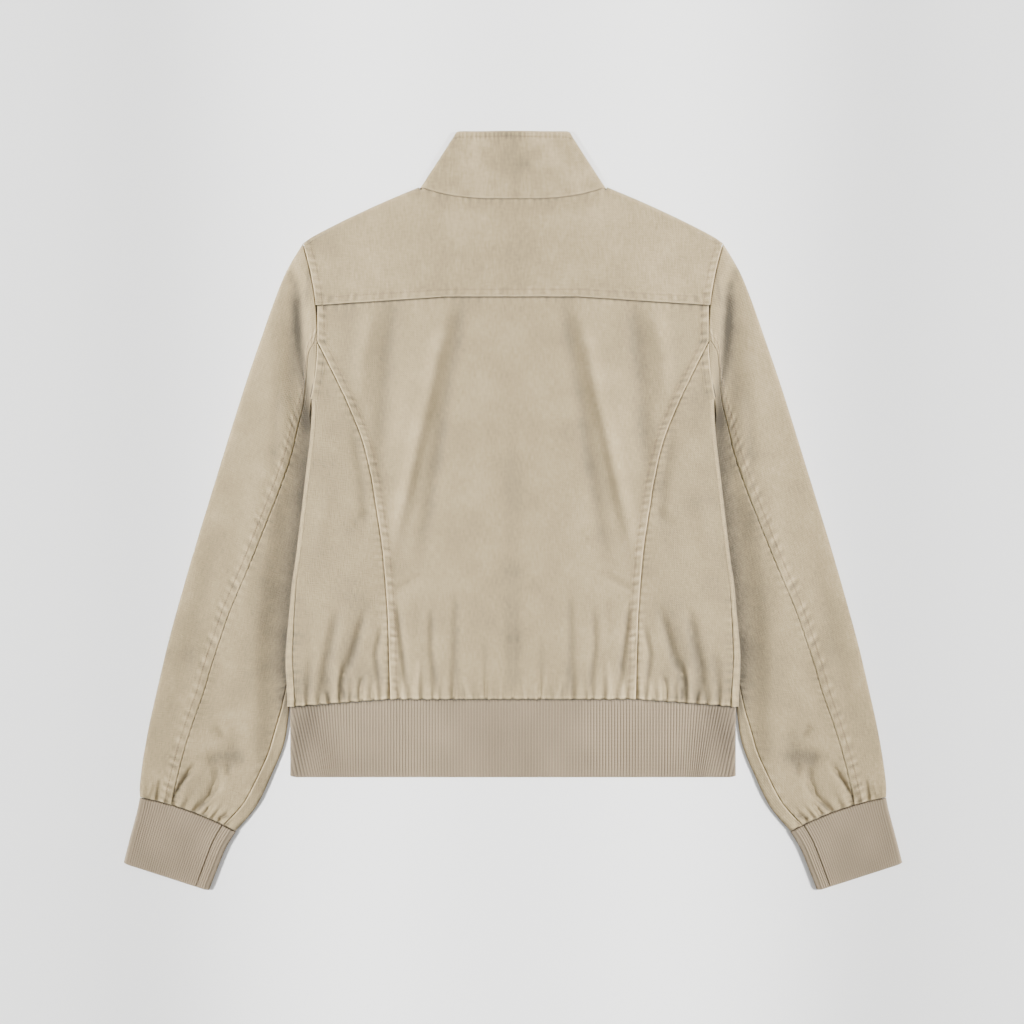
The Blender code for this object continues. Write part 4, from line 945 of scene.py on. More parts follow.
# Fronts: a plain panel at each side of the zip, on the floor. It climbs over the hidden part of
# the sleeve, turns up through the side fold and is seamed to the back a few millimetres inside it.
FRONT_STEP = 0.0020
FRONT_HEAD_ROWS, FRONT_NECK_COLUMNS, FRONT_FLAT_COLUMNS = 44, 14, 40
FRONT_STRIP = np.array((0.35, 0.65, 0.85, 1.0))   # columns of the strip on the back's side
SIDE_WAVE = 0.009
edge_top = armhole_x(WING_Y)
level = BACK_FOOT + np.concatenate((
    spread(ARMPIT_Y - 0.0001 - BACK_FOOT, FRONT_STEP)[0],
    np.linspace(ARMPIT_Y, WING_Y, FRONT_HEAD_ROWS)[1:] - BACK_FOOT,
))[:, None]
fold = body_x(level)
end = np.where(level <= ARMPIT_Y, fold - fold_plan(-90, CLOTH)[0], armhole_x(level) - SEAM_GAP)
neck_xs = np.linspace(TAPE_X + SEAM_GAP, WING_X, FRONT_NECK_COLUMNS)[None, :]
flat_xs = WING_X + (end - WING_X) * np.linspace(0, 1, FRONT_FLAT_COLUMNS)[None, 1:]
fold_inset, fold_across, fold_up = fold_plan(FOLD_TURNS[::-1][None, 1:], CLOTH)
strip_start = fold - level_inset
strip_xs = strip_start + (side_seam_x(level) + SEAM_GAP / 2 - strip_start) * FRONT_STRIP
x = np.hstack((neck_xs + 0 * level, flat_xs, fold - fold_inset, strip_xs))
flat_count = neck_xs.shape[1] + flat_xs.shape[1]
across = strung((0, flat_count), fold_across, (0, len(FRONT_STRIP)))
up = strung((-1, flat_count), fold_up, (1, len(FRONT_STRIP)))
neck_slope = (front_neck_y(WING_X) - WING_Y) / (edge_top - WING_X)
top_y = np.where(x < WING_X, front_neck_y(x), WING_Y + neck_slope * (edge_top - x))
y = row_y(level, x) + (top_y - WING_Y - SEAM_GAP) * smooth(level, ARMPIT_Y, WING_Y)
seam_gap_here = np.abs(x - side_seam_x(level) - SEAM_GAP / 2)
lower_side = smooth(y, *SIDE_SEAM_FOOT)
ripple = uneven_wave(y, SIDE_WAVE, seed=51)
swell = 0.00025 * smooth(seam_gap_here, 0.004, 0.001) - WELT * smooth(seam_gap_here, 0.0006, 0.0)
swell = lower_side * swell - 0.0010 * beside(y - hem_y(x), 0.0010) + 0.00015 * ripple
facing_up = np.clip(up, 0, 1)
# A pale line beside the side seam, partly faded and partly painted highlight, painted shading on the
# ripples, and painted shade on the side fold.
faded_and_painted_shading = 0.8 * beside(seam_gap_here, 0.0009) + 0.3 * ripple
wear_and_painted_shading = facing_up * faded_and_painted_shading * lower_side - FOLD_SHADE * (1 - facing_up**3)
inner, outer = wall_at(x, y, (1, 0), across, up, back_z(x, y), front_z(x, y), CLOTH, swell)
kept = (level < ARMPIT_Y) | (np.arange(x.shape[1]) < flat_count)[None, :]
for side, hand in HANDS:
    piece = shell(f"front_{hand}_cloth", f"front_{hand}", inner, outer, stack(x + side, y, 0.2),
                  wear_and_painted_shading, twill, side, kept)


# Sleeves: each is an upper piece, which runs from the topstitched back seam over the outer edge
# and right round below, and a narrow under piece beside the body. They are eased into the cuffs.
SLEEVE_EDGE_AIR = 0.0016
SLEEVE_AIR = 0.0072
SLEEVE_END_SHARE = 0.45
SLEEVE_END_SECTIONS = 2.5
SLEEVE_DOME = 0.7
UNDERARM_TOP_INSET = 0.0046
UNDERARM_INSET = 0.0125
UNDERARM_TURN = (10.9, 12.9)
CUFF_GATHER_HEIGHT = 0.0015
CUFF_GATHER_SPACING = 0.0095
CUFF_GATHER_REACH = 0.014
VALLEY = ((0.2105, 0.2192), (0.2090, 0.1756), (0.2061, 0.1319), (0.1998, 0.1077))
VALLEY_AIR = 0.0006
VALLEY_START = 0.004
VALLEY_REACH = 0.032
VALLEY_BODY_REACH = 0.015
VALLEY_BLEND = 0.010
VALLEY_TURN = (VALLEY[-1][1] - 0.008, VALLEY[-1][1] + 0.004)
BODY_SHADE = 1.60
BODY_SHADE_REACH = 0.0085
SLEEVE_HEAD_RUN = 0.009
UPPER_STEP, UNDER_STEP, SLEEVE_STEP = 0.0026, 0.0024, 0.0019
SLEEVE_PUCKERS = {"reach": 0.0145, "slant": 0.5, "spacing": 0.0100}
UNDERARM_STRIP = np.array((0.25, 0.5, 0.7, 0.85, 0.94, 1.0))   # columns beyond the inner fold
SLEEVE_CREASES = (
    Crease(((0.2997, -0.1096), (0.2852, -0.1504), (0.2997, -0.1998)), 0.0120, -0.0020, -0.10),
    Crease(((0.2978, -0.2396), (0.2842, -0.2377), (0.2726, -0.2377), (0.2551, -0.2406)),
            0.0082, -0.0022, -0.95),
    Crease(((0.2852, -0.2474), (0.2871, -0.2638), (0.2929, -0.2745)), 0.0046, -0.0022, -0.60),
    Crease(((0.3075, -0.2454), (0.3201, -0.2629), (0.3274, -0.2765), (0.3288, -0.2852)),
            0.0028, -0.0026, -0.35),
    Crease(((0.2842, -0.2658), (0.2968, -0.2803), (0.3085, -0.2920)), 0.0030, -0.0028, -0.50),
    Crease(((0.2959, -0.2862), (0.3046, -0.2920)), 0.0024, 0.0020, 0.30),
    Crease(((0.2862, -0.2978), (0.2735, -0.2954)), 0.0026, -0.0020, -0.35),
    Crease(((0.3414, -0.2600), (0.3453, -0.2803)), 0.0024, -0.0014, -0.25),
    Crease(((0.3492, -0.2638), (0.3531, -0.2774)), 0.0024, 0.0012, 0.20),
    Crease(((0.2745, -0.2435), (0.2755, -0.2571)), 0.0044, -0.0016, -0.55),
    Crease(((0.2862, -0.0301), (0.2929, -0.0524), (0.3007, -0.0863), (0.3075, -0.1057),
            (0.3153, -0.1445), (0.3230, -0.1833), (0.3308, -0.2124)), 0.0100, -0.0012, -0.30),
    Crease(((0.2871, -0.2076), (0.2784, -0.2192)), 0.0040, -0.0014, -0.30),
    Crease(((0.2435, 0.1756), (0.2619, 0.1077), (0.2803, 0.0592), (0.2978, 0.0107)),
            0.0120, 0.0014, 0.10),
    Crease(((0.2474, 0.0155), (0.2580, -0.0475), (0.2619, -0.1077)), 0.0090, 0.0014, 0.16),
    Crease(((0.2260, 0.1271), (0.2289, 0.0786), (0.2299, 0.0398), (0.2377, 0.0107)),
            0.0060, -0.0008, -0.35),
    Crease(((0.2100, 0.2163), (0.2095, 0.1930), (0.2080, 0.1740), (0.2070, 0.1580), (0.2040, 0.1370),
            (0.2008, 0.1174), (0.2018, 0.0960), (0.2027, 0.0689)), 0.0050, -0.0016, -1.55),
    Crease(((0.2115, 0.2144), (0.2115, 0.1833), (0.2124, 0.1610), (0.2134, 0.1416), (0.2153, 0.1174),
            (0.2163, 0.0931)), 0.0075, -0.0010, -0.70),
    Crease(((0.2086, 0.0543), (0.2144, 0.0204), (0.2202, -0.0087), (0.2270, -0.0378),
            (0.2318, -0.0718), (0.2338, -0.1154), (0.2328, -0.1445), (0.2318, -0.1785),
            (0.2396, -0.2124)), 0.0150, -0.0008, -0.66),
    Crease(((0.2105, 0.2561), (0.2086, 0.2396), (0.2095, 0.2299)), 0.0040, 0.0012, 0.30),
    Crease(((0.2105, 0.2231), (0.2124, 0.2144)), 0.0030, -0.0010, -0.45),
    Crease(((0.2687, -0.2318), (0.2667, -0.2124)), 0.0080, -0.0008, -0.20),
    Crease(((0.2149, 0.2338), (0.2134, 0.2192)), 0.0036, -0.0010, -0.65),
    Crease(((0.1969, 0.2377), (0.1988, 0.2163), (0.2003, 0.1988)), 0.0020, -0.0005, -0.50),
    Crease(((0.3104, -0.2507), (0.3172, -0.2590), (0.3230, -0.2677), (0.3279, -0.2760),
            (0.3292, -0.2832)), 0.0011, -0.0010, -0.70),
    Crease(((0.2895, -0.2731), (0.2973, -0.2813), (0.3036, -0.2881), (0.3085, -0.2925)),
            0.0011, -0.0010, -0.90),
    Crease(((0.2745, -0.2954), (0.2862, -0.2978)), 0.0011, -0.0008, -0.60),
)


def underarm_share(place, width):
    """The share of a sleeve's width at which the underarm seam runs."""
    gained = (UNDERARM_INSET - UNDERARM_TOP_INSET) * smooth(place, *UNDERARM_TURN)
    return 1 - (UNDERARM_TOP_INSET + gained) / width


def sleeve_top_z(place, share, x, y):
    """The inner face of a sleeve's upper layer: dents, gathers and the valley by the body."""
    dome = np.sin(np.pi * np.clip(share, 0, 1)) ** SLEEVE_DOME
    from_cuff = smooth(place, LAST_SECTION, LAST_SECTION - SLEEVE_END_SECTIONS)
    fullness = smooth(place, 0, SLEEVE_END_SECTIONS) * from_cuff
    fullest = SLEEVE_AIR * (SLEEVE_END_SHARE + (1 - SLEEVE_END_SHARE) * fullness)
    air = SLEEVE_EDGE_AIR + (fullest - SLEEVE_EDGE_AIR) * dome
    air = air + creased(SLEEVE_CREASES, x, y)
    cuff_end = sleeve_plan(np.full_like(place, LAST_SECTION, dtype=float), share)
    to_cuff = np.hypot(x - cuff_end[..., 0], y - cuff_end[..., 1])
    gathers = CUFF_GATHER_HEIGHT * uneven_wave(share * 0.1, CUFF_GATHER_SPACING, seed=61)
    air = air + gathers * beside(to_cuff, CUFF_GATHER_REACH)
    air = air + 0.00045 * rumple(x, y, 0.019, seed=62)
    below = HIDDEN_AIR + (air - HIDDEN_AIR) * smooth(x - body_x(y), VALLEY_START, VALLEY_REACH)
    valley_xs, valley_ys = np.asarray(VALLEY)[::-1].T
    beside_body = smooth(x - np.interp(y, valley_ys, valley_xs), VALLEY_BLEND, -VALLEY_BLEND)
    above = air + (back_z(x, y) - CLOTH - air) * beside_body
    reach = VALLEY_REACH + (VALLEY_BODY_REACH - VALLEY_REACH) * beside_body
    above = VALLEY_AIR + (above - VALLEY_AIR) * smooth(distance(VALLEY, x, y)[0] / reach, 0.0, 1.0)
    return CLOTH + np.maximum(below + (above - below) * smooth(y, *VALLEY_TURN), LEAST_AIR)


run_places = np.linspace(0, LAST_SECTION, 40 * LAST_SECTION + 1)
run_lengths = run_along(sleeve_plan(run_places, np.full_like(run_places, 0.5)))
rows_along = spread(run_lengths[-1], SLEEVE_STEP)[0]
place = np.maximum(np.interp(rows_along, run_lengths, run_places), 0.012)[:, None]
run = np.interp(place, run_places, run_lengths)
outer_end, _, inner_end, split, width = sleeve_section(place)
inward = (inner_end - outer_end) / width[..., None]
level_edge = level_inset / width
seam_half = SEAM_GAP / 2 / width
end_gap = np.minimum(run, run_lengths[-1] - run)
end_dip = tucked(end_gap, 0.0, 63, 0.0010)[0]


def sleeve_piece(name, share, across, up, away, swell, wear_and_painted_shading, side, patch):
    """A piece of a sleeve from its shares across; away points outward, patch shifts its grain."""
    plan = sleeve_plan(place, share)
    x, y = plan[..., 0], plan[..., 1]
    dip = end_dip - 0.0004 * beside(run_lengths[-1] - run, 0.002)
    top = sleeve_top_z(place, share, x, y)
    top = top + np.maximum(back_z(x, y) - top, 0) * smooth(run, SLEEVE_HEAD_RUN, 0.0)
    inner, outer = wall_at(x, y, (inward[..., 0] * away, inward[..., 1] * away), across, up, top,
                           CLOTH, CLOTH, swell + dip)
    # Painted shade by the body's edge, at the ends and on the rims, painted crease shading, a
    # mottle.
    reach = BODY_SHADE_REACH * (1 + 0.5 * smooth(y, 0.02, 0.05))
    shade = -BODY_SHADE * beside(np.clip(x - body_x(y), 0, None), reach)
    shade = shade * smooth(y, -0.22, -0.17) * smooth(y, 0.115, 0.085)
    shade = shade + creased(SLEEVE_CREASES, x, y, "tone") + MOTTLE * rumple(x, y, 0.015, seed=67)
    facing_up = np.clip(up, 0, 1)
    wear_and_painted_shading = facing_up * (wear_and_painted_shading - beside(end_gap, 0.0007) + shade) - RIM_SHADE * (1 - facing_up)
    made = shell(f"{name}_cloth", name, inner, outer, stack(share * width + patch, run, 0.0), wear_and_painted_shading,
                 twill, side)
    return made, outer


# The seams' raw edges are turned in and overlocked together; they lie flat behind the gaps, and
# are painted the darkest colour, as painted shadow in the gaps.
ALLOWANCE_HALF, ARMHOLE_HALF, ARMPIT_HALF = 0.0022, 0.0011, 0.0034
ARMPIT_Z = 0.0019
ALLOWANCE_THICK = 0.0003
ALLOWANCE_PAINTED_SHADE = -2.0
ALLOWANCE_SINK = 0.0001
BAND_SEAM_Z = (2 * CLOTH, 0.0028)


def allowance(name, x, y, z, half_width=ALLOWANCE_HALF):
    """The turned-in edges behind a seam, as one narrow strip along the points of its line."""
    line = stack(x, y, z)
    forward = np.gradient(line[:, :2], axis=0)
    forward /= np.linalg.norm(forward, axis=1, keepdims=True)
    reach = half_width * np.column_stack((-forward[:, 1], forward[:, 0], np.zeros(len(line))))
    top = np.stack((line - reach, line + reach), axis=1)
    # Coloured in the darkest painted shade, as the shadow in the seam's gap.
    return shell(name, None, top - (0, 0, ALLOWANCE_THICK), top, top, ALLOWANCE_PAINTED_SHADE, twill,
                 lining_step=1)


from_seam = spread(((split - seam_half - level_edge) * width)[:, 0], UPPER_STEP)
fold_inset, fold_across, fold_up = fold_plan(FOLD_TURNS[None, 1:], CLOTH)
inner_inset, inner_across, inner_up = fold_plan(FOLD_TURNS[::-1][None, :], CLOTH)
strip_end = underarm_share(place, width) + seam_half
parts = (
    split - seam_half - from_seam / width,
    fold_inset / width,
    level_edge + (1 - 2 * level_edge) * np.linspace(0, 1, 9)[None, 1:-1],
    1 - inner_inset / width,
    1 - level_edge + (strip_end - 1 + level_edge) * UNDERARM_STRIP,
)
share = np.hstack(parts)
on_top, in_fold, on_floor, in_inner_fold, on_strip = [part.shape[1] for part in parts]
across = strung((0, on_top), fold_across, (0, on_floor), inner_across, (0, on_strip))
up = strung((1, on_top), fold_up, (-1, on_floor), inner_up, (1, on_strip))
away = strung((-1, on_top + in_fold), (1, on_floor + in_inner_fold + on_strip))
seam_distance = np.abs(split - seam_half - share) * width
band, fine = lapped(seam_distance, run, 64, **SLEEVE_PUCKERS)
fine = fine * 1.15
strip_gap = np.abs(share - strip_end) * width
upper_side = (np.arange(share.shape[1]) < on_top)[None, :]
strip_rim = 0.0003 * smooth(strip_gap, 0.005, 0.0015) - 0.0004 * smooth(strip_gap, 0.0007, 0.0)
swell = np.where(upper_side, band + fine, strip_rim)
# Painted shading on the puckers by the back seam, and pale edges, partly a painted highlight.
wear_and_painted_shading = np.where(upper_side, fine / PUCKER_SHADING_STEP + edge_fade_and_highlight(seam_distance), edge_fade_and_highlight(strip_gap))
stitch_column = np.abs(from_seam[0] - STITCH_INSET).argmin()
stitched = (rows_along > 0.004) & (rows_along < run_lengths[-1] - 0.003)

under_near, under_far = split + seam_half, underarm_share(place, width) - seam_half
from_near = spread(((under_far - under_near) * width)[:, 0], UNDER_STEP)
under_share = under_near + from_near / width
far_distance = (under_far - under_share) * width
near_dip, near_fine = tucked(from_near, run, seed=65)
far_dip, far_fine = tucked(far_distance, run, 66, 0.0007)
under_swell = near_dip + near_fine + far_dip + far_fine
# Painted shading on the puckers, and painted shade along both seams.
under_painted_shading = (near_fine + far_fine) / PUCKER_SHADING_STEP - 0.6 * beside(from_near, 0.0006)
under_painted_shading = under_painted_shading - 0.6 * beside(far_distance, 0.0007)

armhole_xs, armhole_ys = sleeve_plan(np.full(90, 0.004), np.linspace(1.0, 0.03, 90)).T
armhole_zs = np.maximum(back_z(armhole_xs, armhole_ys), CLOTH + 0.0006) - ALLOWANCE_SINK
armpit_ys = np.linspace(ARMPIT_Y + 0.004, 0.066, 30)
armpit_xs = body_x(armpit_ys) + 0.0006
for side, hand in HANDS:
    piece, outer = sleeve_piece(f"sleeve_upper_{hand}", share, across, up, away, swell, wear_and_painted_shading, side,
                                2.0 + side * 0.4)
    stitches = outer[:, stitch_column] * (side, 1, 1)
    with_pieces = [
        topstitch(f"sleeve_topstitch_{hand}", stitches[stitched]),
        allowance(f"armhole_allowance_{hand}", side * armhole_xs, armhole_ys, armhole_zs,
                  ARMHOLE_HALF),
        allowance(f"armpit_allowance_{hand}", side * armpit_xs, armpit_ys, ARMPIT_Z, ARMPIT_HALF),
    ]
    piece, _ = sleeve_piece(f"sleeve_under_{hand}", under_share, 0.0, 1.0, 1.0, under_swell,
                            under_painted_shading, side, 3.0 + side * 0.4)


# Collar: a stand of two layers, turned and topstitched along its top, which runs from the zip
# round the back of the neck and on to the zip again.
COLLAR_WALL = 0.0018
COLLAR_AIR = 0.0016
COLLAR_TOP_X = 0.0558
COLLAR_TOP_Y = 0.3680
COLLAR_FRONT_DROP = 0.0015
COLLAR_STITCH = 0.0056
COLLAR_STITCH_DIP = 0.00022
COLLAR_CORNER = 0.0016
COLLAR_FRONT_COLUMNS, COLLAR_BACK_COLUMNS = 30, 61
# Painted shade at the middle of the collar's top.
COLLAR_PAINTED_SHADE = ((0.0, 0.3715), (0.0015, 0.3510), (0.0080, 0.3330))   # darker middle of the top
climb = (spread(1.0, 0.025, EDGE_INSETS / (COLLAR_TOP_Y - NECK_Y)))[0][:, None]
reach = NECK_X + (COLLAR_TOP_X - NECK_X) * climb
collar_inset, _, _ = fold_plan(90, COLLAR_WALL)
turn_inset, turn_across, turn_up = fold_plan(FOLD_TURNS[::-1][None, 1:], COLLAR_WALL)
front_shares = np.linspace(0, 1, COLLAR_FRONT_COLUMNS)[None, :]
back_shares = np.linspace(1, 0, COLLAR_BACK_COLUMNS + 1)[None, 1:]
front_xs = TAPE_X + SEAM_GAP + (reach - collar_inset - TAPE_X - SEAM_GAP) * front_shares
half_x = np.hstack((front_xs, reach - turn_inset, (reach - collar_inset) * back_shares))
half_across = strung((0, COLLAR_FRONT_COLUMNS), turn_across, (0, COLLAR_BACK_COLUMNS))
half_up = strung((-1, COLLAR_FRONT_COLUMNS), turn_up, (1, COLLAR_BACK_COLUMNS))
x = np.hstack((half_x, -half_x[:, -2::-1]))
across = np.hstack((half_across, half_across[:, -2::-1]))
up = np.hstack((half_up, half_up[:, -2::-1]))
base_x = x * NECK_X / reach
foot = neck_y(base_x) * (1 + up) / 2 + front_neck_y(base_x) * (1 - up) / 2
top = COLLAR_TOP_Y - COLLAR_FRONT_DROP * (1 - up) / 2
corner = COLLAR_CORNER * smooth(np.abs(x), COLLAR_TOP_X - 0.004, COLLAR_TOP_X)
y = foot + SEAM_GAP / 2 + (top - corner - foot - SEAM_GAP / 2) * climb
from_top = (1 - climb) * (top - foot)
from_foot = climb * (top - foot)
stitched = -COLLAR_STITCH_DIP * beside(from_top - COLLAR_STITCH, 0.0006)
quilted = smooth(from_top, 0.0105, 0.0055) * smooth(from_top, 0, 0.002)
quilting = 0.00018 * uneven_wave(np.abs(x), 0.0042, seed=71) * quilted
rim = -0.0005 * smooth(from_top, 0.0010, 0.0) + 0.00015 * smooth(from_foot, 0.004, 0.001)
rim = rim - 0.0004 * smooth(from_foot, 0.0007, 0.0)
soft = 0.00025 * rumple(x, y, 0.017, seed=72)
bottom = COLLAR_WALL + zip_rise(x, y)
inner, outer = wall_at(x, y, (np.sign(x + 1e-9), 0), across, up, bottom + COLLAR_AIR, bottom,
                       COLLAR_WALL, stitched + quilting + rim + soft)
facing_up = np.clip(up, 0, 1)
# Painted shade at the middle of the top, a random tone a little paler overall, painted shading on
# the stitch line and quilting, pale edges partly painted highlight, and painted shade on the turns.
to_painted_shade = distance(COLLAR_PAINTED_SHADE, np.abs(x), y)[0]
tone = 0.12 + 0.30 * rumple(x, y, 0.010, seed=73) - 0.45 * beside(to_painted_shade, 0.015)
faded_and_painted_shading = (stitched + quilting) / 0.0003 + 0.5 * edge_fade_and_highlight(from_foot) + 0.6 * edge_fade_and_highlight(from_top)
wear_and_painted_shading = facing_up * (faded_and_painted_shading + tone) - 0.3 * RIM_SHADE * (1 - facing_up)
collar = shell("collar_cloth", "collar", inner, outer, stack(x, y, 1.4), wear_and_painted_shading, twill)
stitch_x = np.linspace(-1, 1, 200) * (COLLAR_TOP_X - 0.0005)
stitch_y = np.full_like(stitch_x, COLLAR_TOP_Y - COLLAR_STITCH)
height = COLLAR_WALL * 2 + COLLAR_AIR + zip_rise(stitch_x, stitch_y) - 0.00018
collar_stitches = topstitch("collar_topstitch", stack(stitch_x, stitch_y, height))
seam_x = np.linspace(-1, 1, 120) * (NECK_X - 0.0022)
seam_z = COLLAR_WALL + COLLAR_AIR + zip_rise(seam_x, neck_y(seam_x)) - ALLOWANCE_SINK
neck_allowance = allowance("neck_seam_allowance", seam_x, neck_y(seam_x) - SEAM_GAP / 4, seam_z)


# Hem band: one length of cotton rib knit, doubled, 75 mm deep, from the zip round the back and on
# to the zip again. About 150 ribs cross the back; near the sides they lean in towards the foot.
KNIT = 0.0020
KNIT_AIR = 0.0008
RIB_HEIGHT = 0.00042
RIB_SAMPLES = np.array((0.0, 0.14, 0.32, 0.5, 0.68, 0.86))   # columns from furrow to furrow
FURROW_HALF = 0.17
HEM_BAND_X = 0.2160
HEM_BAND_Y = -0.2580
HEM_CORNER = 0.0060
HEM_PITCH = 0.00288
HEM_LEAN = 0.0150
HEM_LEAN_REACH = 0.034
FOLD_RUN = 0.0075
HEM_SOFT_FOLD = ((0.190, -0.197), (0.207, -0.248))
# Painted shade along the soft fold at the band's end, and a patch painted lighter.
HEM_PAINTED_FOLD_SHADE = ((0.196, -0.194), (0.213, -0.254))
HEM_PAINTED_LIGHT_PATCH = ((0.075, -0.196), (0.070, -0.215))

# Cotton rib knit, piece-dyed with the twill but taking less colour: a soft matt surface of
# columns of V stitches, deep narrow furrows between the ribs, and a slight fuzz. The darker end
# of its colour ramp paints the shade in the furrows, seams and folds.
KNIT_COLOURS = {0.0: "574C3D", 0.5: "7F7059", 1.0: "98876E"}
KNIT_ROW = 0.0013
KNIT_PATCH = (1 / 0.03, 1 / 0.05, 1.0)
knit, tree, shader = new_material("cotton_rib_knit", {
    "Roughness": 0.95, "Specular IOR Level": 0.2, "Sheen Weight": 0.15, "Sheen Roughness": 0.7})
grain = add(tree, "ShaderNodeAttribute", attribute_name="grain").outputs["Vector"]
level = add(tree, "ShaderNodeAttribute", attribute_name="wear_and_painted_shading").outputs["Fac"]
stitch_rows = textured(tree, grain, "ShaderNodeTexWave", (WAVE_PERIOD / KNIT_ROW,) * 3,
                       {"Distortion": 1.2}, bands_direction="Y")
patch = textured(tree, grain, "ShaderNodeTexNoise", KNIT_PATCH, {"Detail": 3.0})
fuzz = add(tree, "ShaderNodeTexNoise", {"Vector": grain, "Scale": 900.0, "Detail": 2.0})
level = mixed(tree, level, ((patch, 0.45), (fuzz, 0.5), (stitch_rows, 0.15)))
place = add(tree, "ShaderNodeMath", {0: level, 1: 0.5, 2: 0.5}, operation="MULTIPLY_ADD")
ramp = add(tree, "ShaderNodeValToRGB", {"Fac": place.outputs[0]}, KNIT_COLOURS)
tree.links.new(ramp.outputs["Color"], shader.inputs["Base Color"])
relief = add(tree, "ShaderNodeMath",
             {0: stitch_rows.outputs["Fac"], 1: 0.5, 2: fuzz.outputs["Fac"]},
             operation="MULTIPLY_ADD")
bump = add(tree, "ShaderNodeBump",
           {"Height": relief.outputs[0], "Strength": 0.4, "Distance": 0.0004})
tree.links.new(bump.outputs["Normal"], shader.inputs["Normal"])


def furrow(ribs):
    """1 in the furrow between two ribs and 0 on a rib's crown, by the ribs counted so far."""
    share = ribs % 1.0
    return beside(np.minimum(share, 1 - share), FURROW_HALF)


def band_ends(from_head, from_foot):
    """Relief of a doubled band where it is seamed on, and where it is folded at its foot."""
    return -0.0007 * smooth(from_foot, 0.0016, 0.0) - 0.0009 * beside(from_head, 0.0011)


hem_inset, _, _ = fold_plan(90, KNIT)
level_x = HEM_BAND_X - hem_inset
band_half = level_x + FOLD_RUN + level_x - TAPE_X - SEAM_GAP
rib_count = int(round(band_half / HEM_PITCH))
half_run = (np.arange(rib_count)[:, None] + RIB_SAMPLES).ravel() / rib_count * band_half
half_run = np.append(half_run, band_half)
band_run = np.concatenate((-half_run[:0:-1], half_run))[None, :]
drop = np.concatenate(((0.0, 0.010, 0.022, 0.045), np.linspace(0.08, 0.93, 26),
                       (0.965, 0.985, 0.995, 1.0)))[:, None]
lean = HEM_LEAN * beside(np.abs(band_run) - level_x, HEM_LEAN_REACH)
lean = lean * smooth(band_half - np.abs(band_run), 0, 0.05)
run_here = np.abs(band_run) - lean * drop
angle = 90 - 180 * np.clip((run_here - level_x) / FOLD_RUN, 0, 1)
turn_inset, across, up = fold_plan(angle, KNIT)
turned = np.where(run_here < level_x + FOLD_RUN, HEM_BAND_X - turn_inset,
                  2 * level_x + FOLD_RUN - run_here)
x = np.clip(np.where(run_here < level_x, run_here, turned), 0.0, HEM_BAND_X)
head = hem_y(x) - SEAM_GAP
into_corner = np.clip(x - HEM_BAND_X + HEM_CORNER, 0, HEM_CORNER)
corner = HEM_CORNER - np.sqrt(HEM_CORNER**2 - into_corner**2)
y = head + (HEM_BAND_Y + corner - head) * drop
groove = furrow(np.abs(band_run) / (band_half / rib_count))
openness = 1 + 0.5 * uneven_wave(np.abs(band_run), 0.045, seed=82)
crown = RIB_HEIGHT * (1 - groove * (0.9 + 0.35 * openness))
soft_fold = -0.0010 * beside(distance(HEM_SOFT_FOLD, x, y)[0], 0.011)
ease = 0.00025 * rumple(x, y, 0.018, seed=81)
hand_of = np.sign(band_run)
inner, outer = wall_at(hand_of * x, y, (hand_of, 0), across, up, KNIT + KNIT_AIR + 0 * x, KNIT,
                       KNIT, crown + soft_fold + band_ends(head - y, y - HEM_BAND_Y) + ease)
outer[..., 2] += 0.0004 * groove * np.clip(-up, 0, 1)
# Painted shade along the soft fold and towards the sides, a patch painted lighter, a random tone.
tone = -0.28 * beside(distance(HEM_PAINTED_FOLD_SHADE, x, y)[0], 0.014) + 0.15 * rumple(x, y, 0.030, seed=83)
tone = tone + 0.2 * beside(distance(HEM_PAINTED_LIGHT_PATCH, x, y)[0], 0.014)
tone = tone - 0.30 * smooth(x, 0.130, 0.200)
# Painted shade in the furrows between the ribs and in the line of the band's seam.
wear_and_painted_shading = 0.19 + tone - groove * (0.40 + 0.20 * openness) - 0.8 * beside(head - y, 0.0010)
hem_band = shell("hem_rib_knit", "hem_rib", inner, outer, stack(band_run, y, 0.0), wear_and_painted_shading, knit,
                 lining_step=12)
seam_x = np.linspace(-1, 1, 320) * (HEM_END[0] - 0.0034)
seam_y = hem_y(seam_x) - SEAM_GAP / 2
seam_z = np.clip(back_z(seam_x, seam_y), *BAND_SEAM_Z) - ALLOWANCE_SINK
allowance("hem_seam_allowance", seam_x, seam_y, seam_z)


# Cuffs: a tube of the same rib knit, doubled, with about 36 ribs across its upper layer and its
# joining seam near the inner edge. The sleeve is gathered into it.
CuffEdge = namedtuple("CuffEdge", "outer_x outer_y inner_x inner_y")
CUFF = (
    CuffEdge(0.3619, -0.2780, 0.2688, -0.3110),
    CuffEdge(0.3647, -0.2920, 0.2784, -0.3269),
    CuffEdge(0.3715, -0.3172, 0.2871, -0.3482),
    CuffEdge(0.3777, -0.3415, 0.2949, -0.3682),
)
CUFF_RIBS = 36
CUFF_DEPTH = 0.062
CUFF_CORNER = 0.0050
CUFF_DOWN = (0.33, -0.944)
CUFF_JOIN = 0.89
FOOT_PLACE = len(CUFF) - 1
cuff_place = np.concatenate(((0.0, 0.03, 0.07, 0.13), np.linspace(0.22, 2.8, 20),
                             (2.90, 2.955, 2.985, 3.0)))[:, None]
cuff_edges = spline(CUFF, cuff_place)
outer_edge, inner_edge = cuff_edges[..., :2], cuff_edges[..., 2:]
cuff_width = np.linalg.norm(inner_edge - outer_edge, axis=-1)
cuff_inward = (inner_edge - outer_edge) / cuff_width[..., None]
cuff_inset, _, _ = fold_plan(90, KNIT)
steps = np.append((np.arange(CUFF_RIBS)[:, None] + RIB_SAMPLES).ravel() / CUFF_RIBS, 1.0)
join = int(round(len(steps) * CUFF_JOIN))
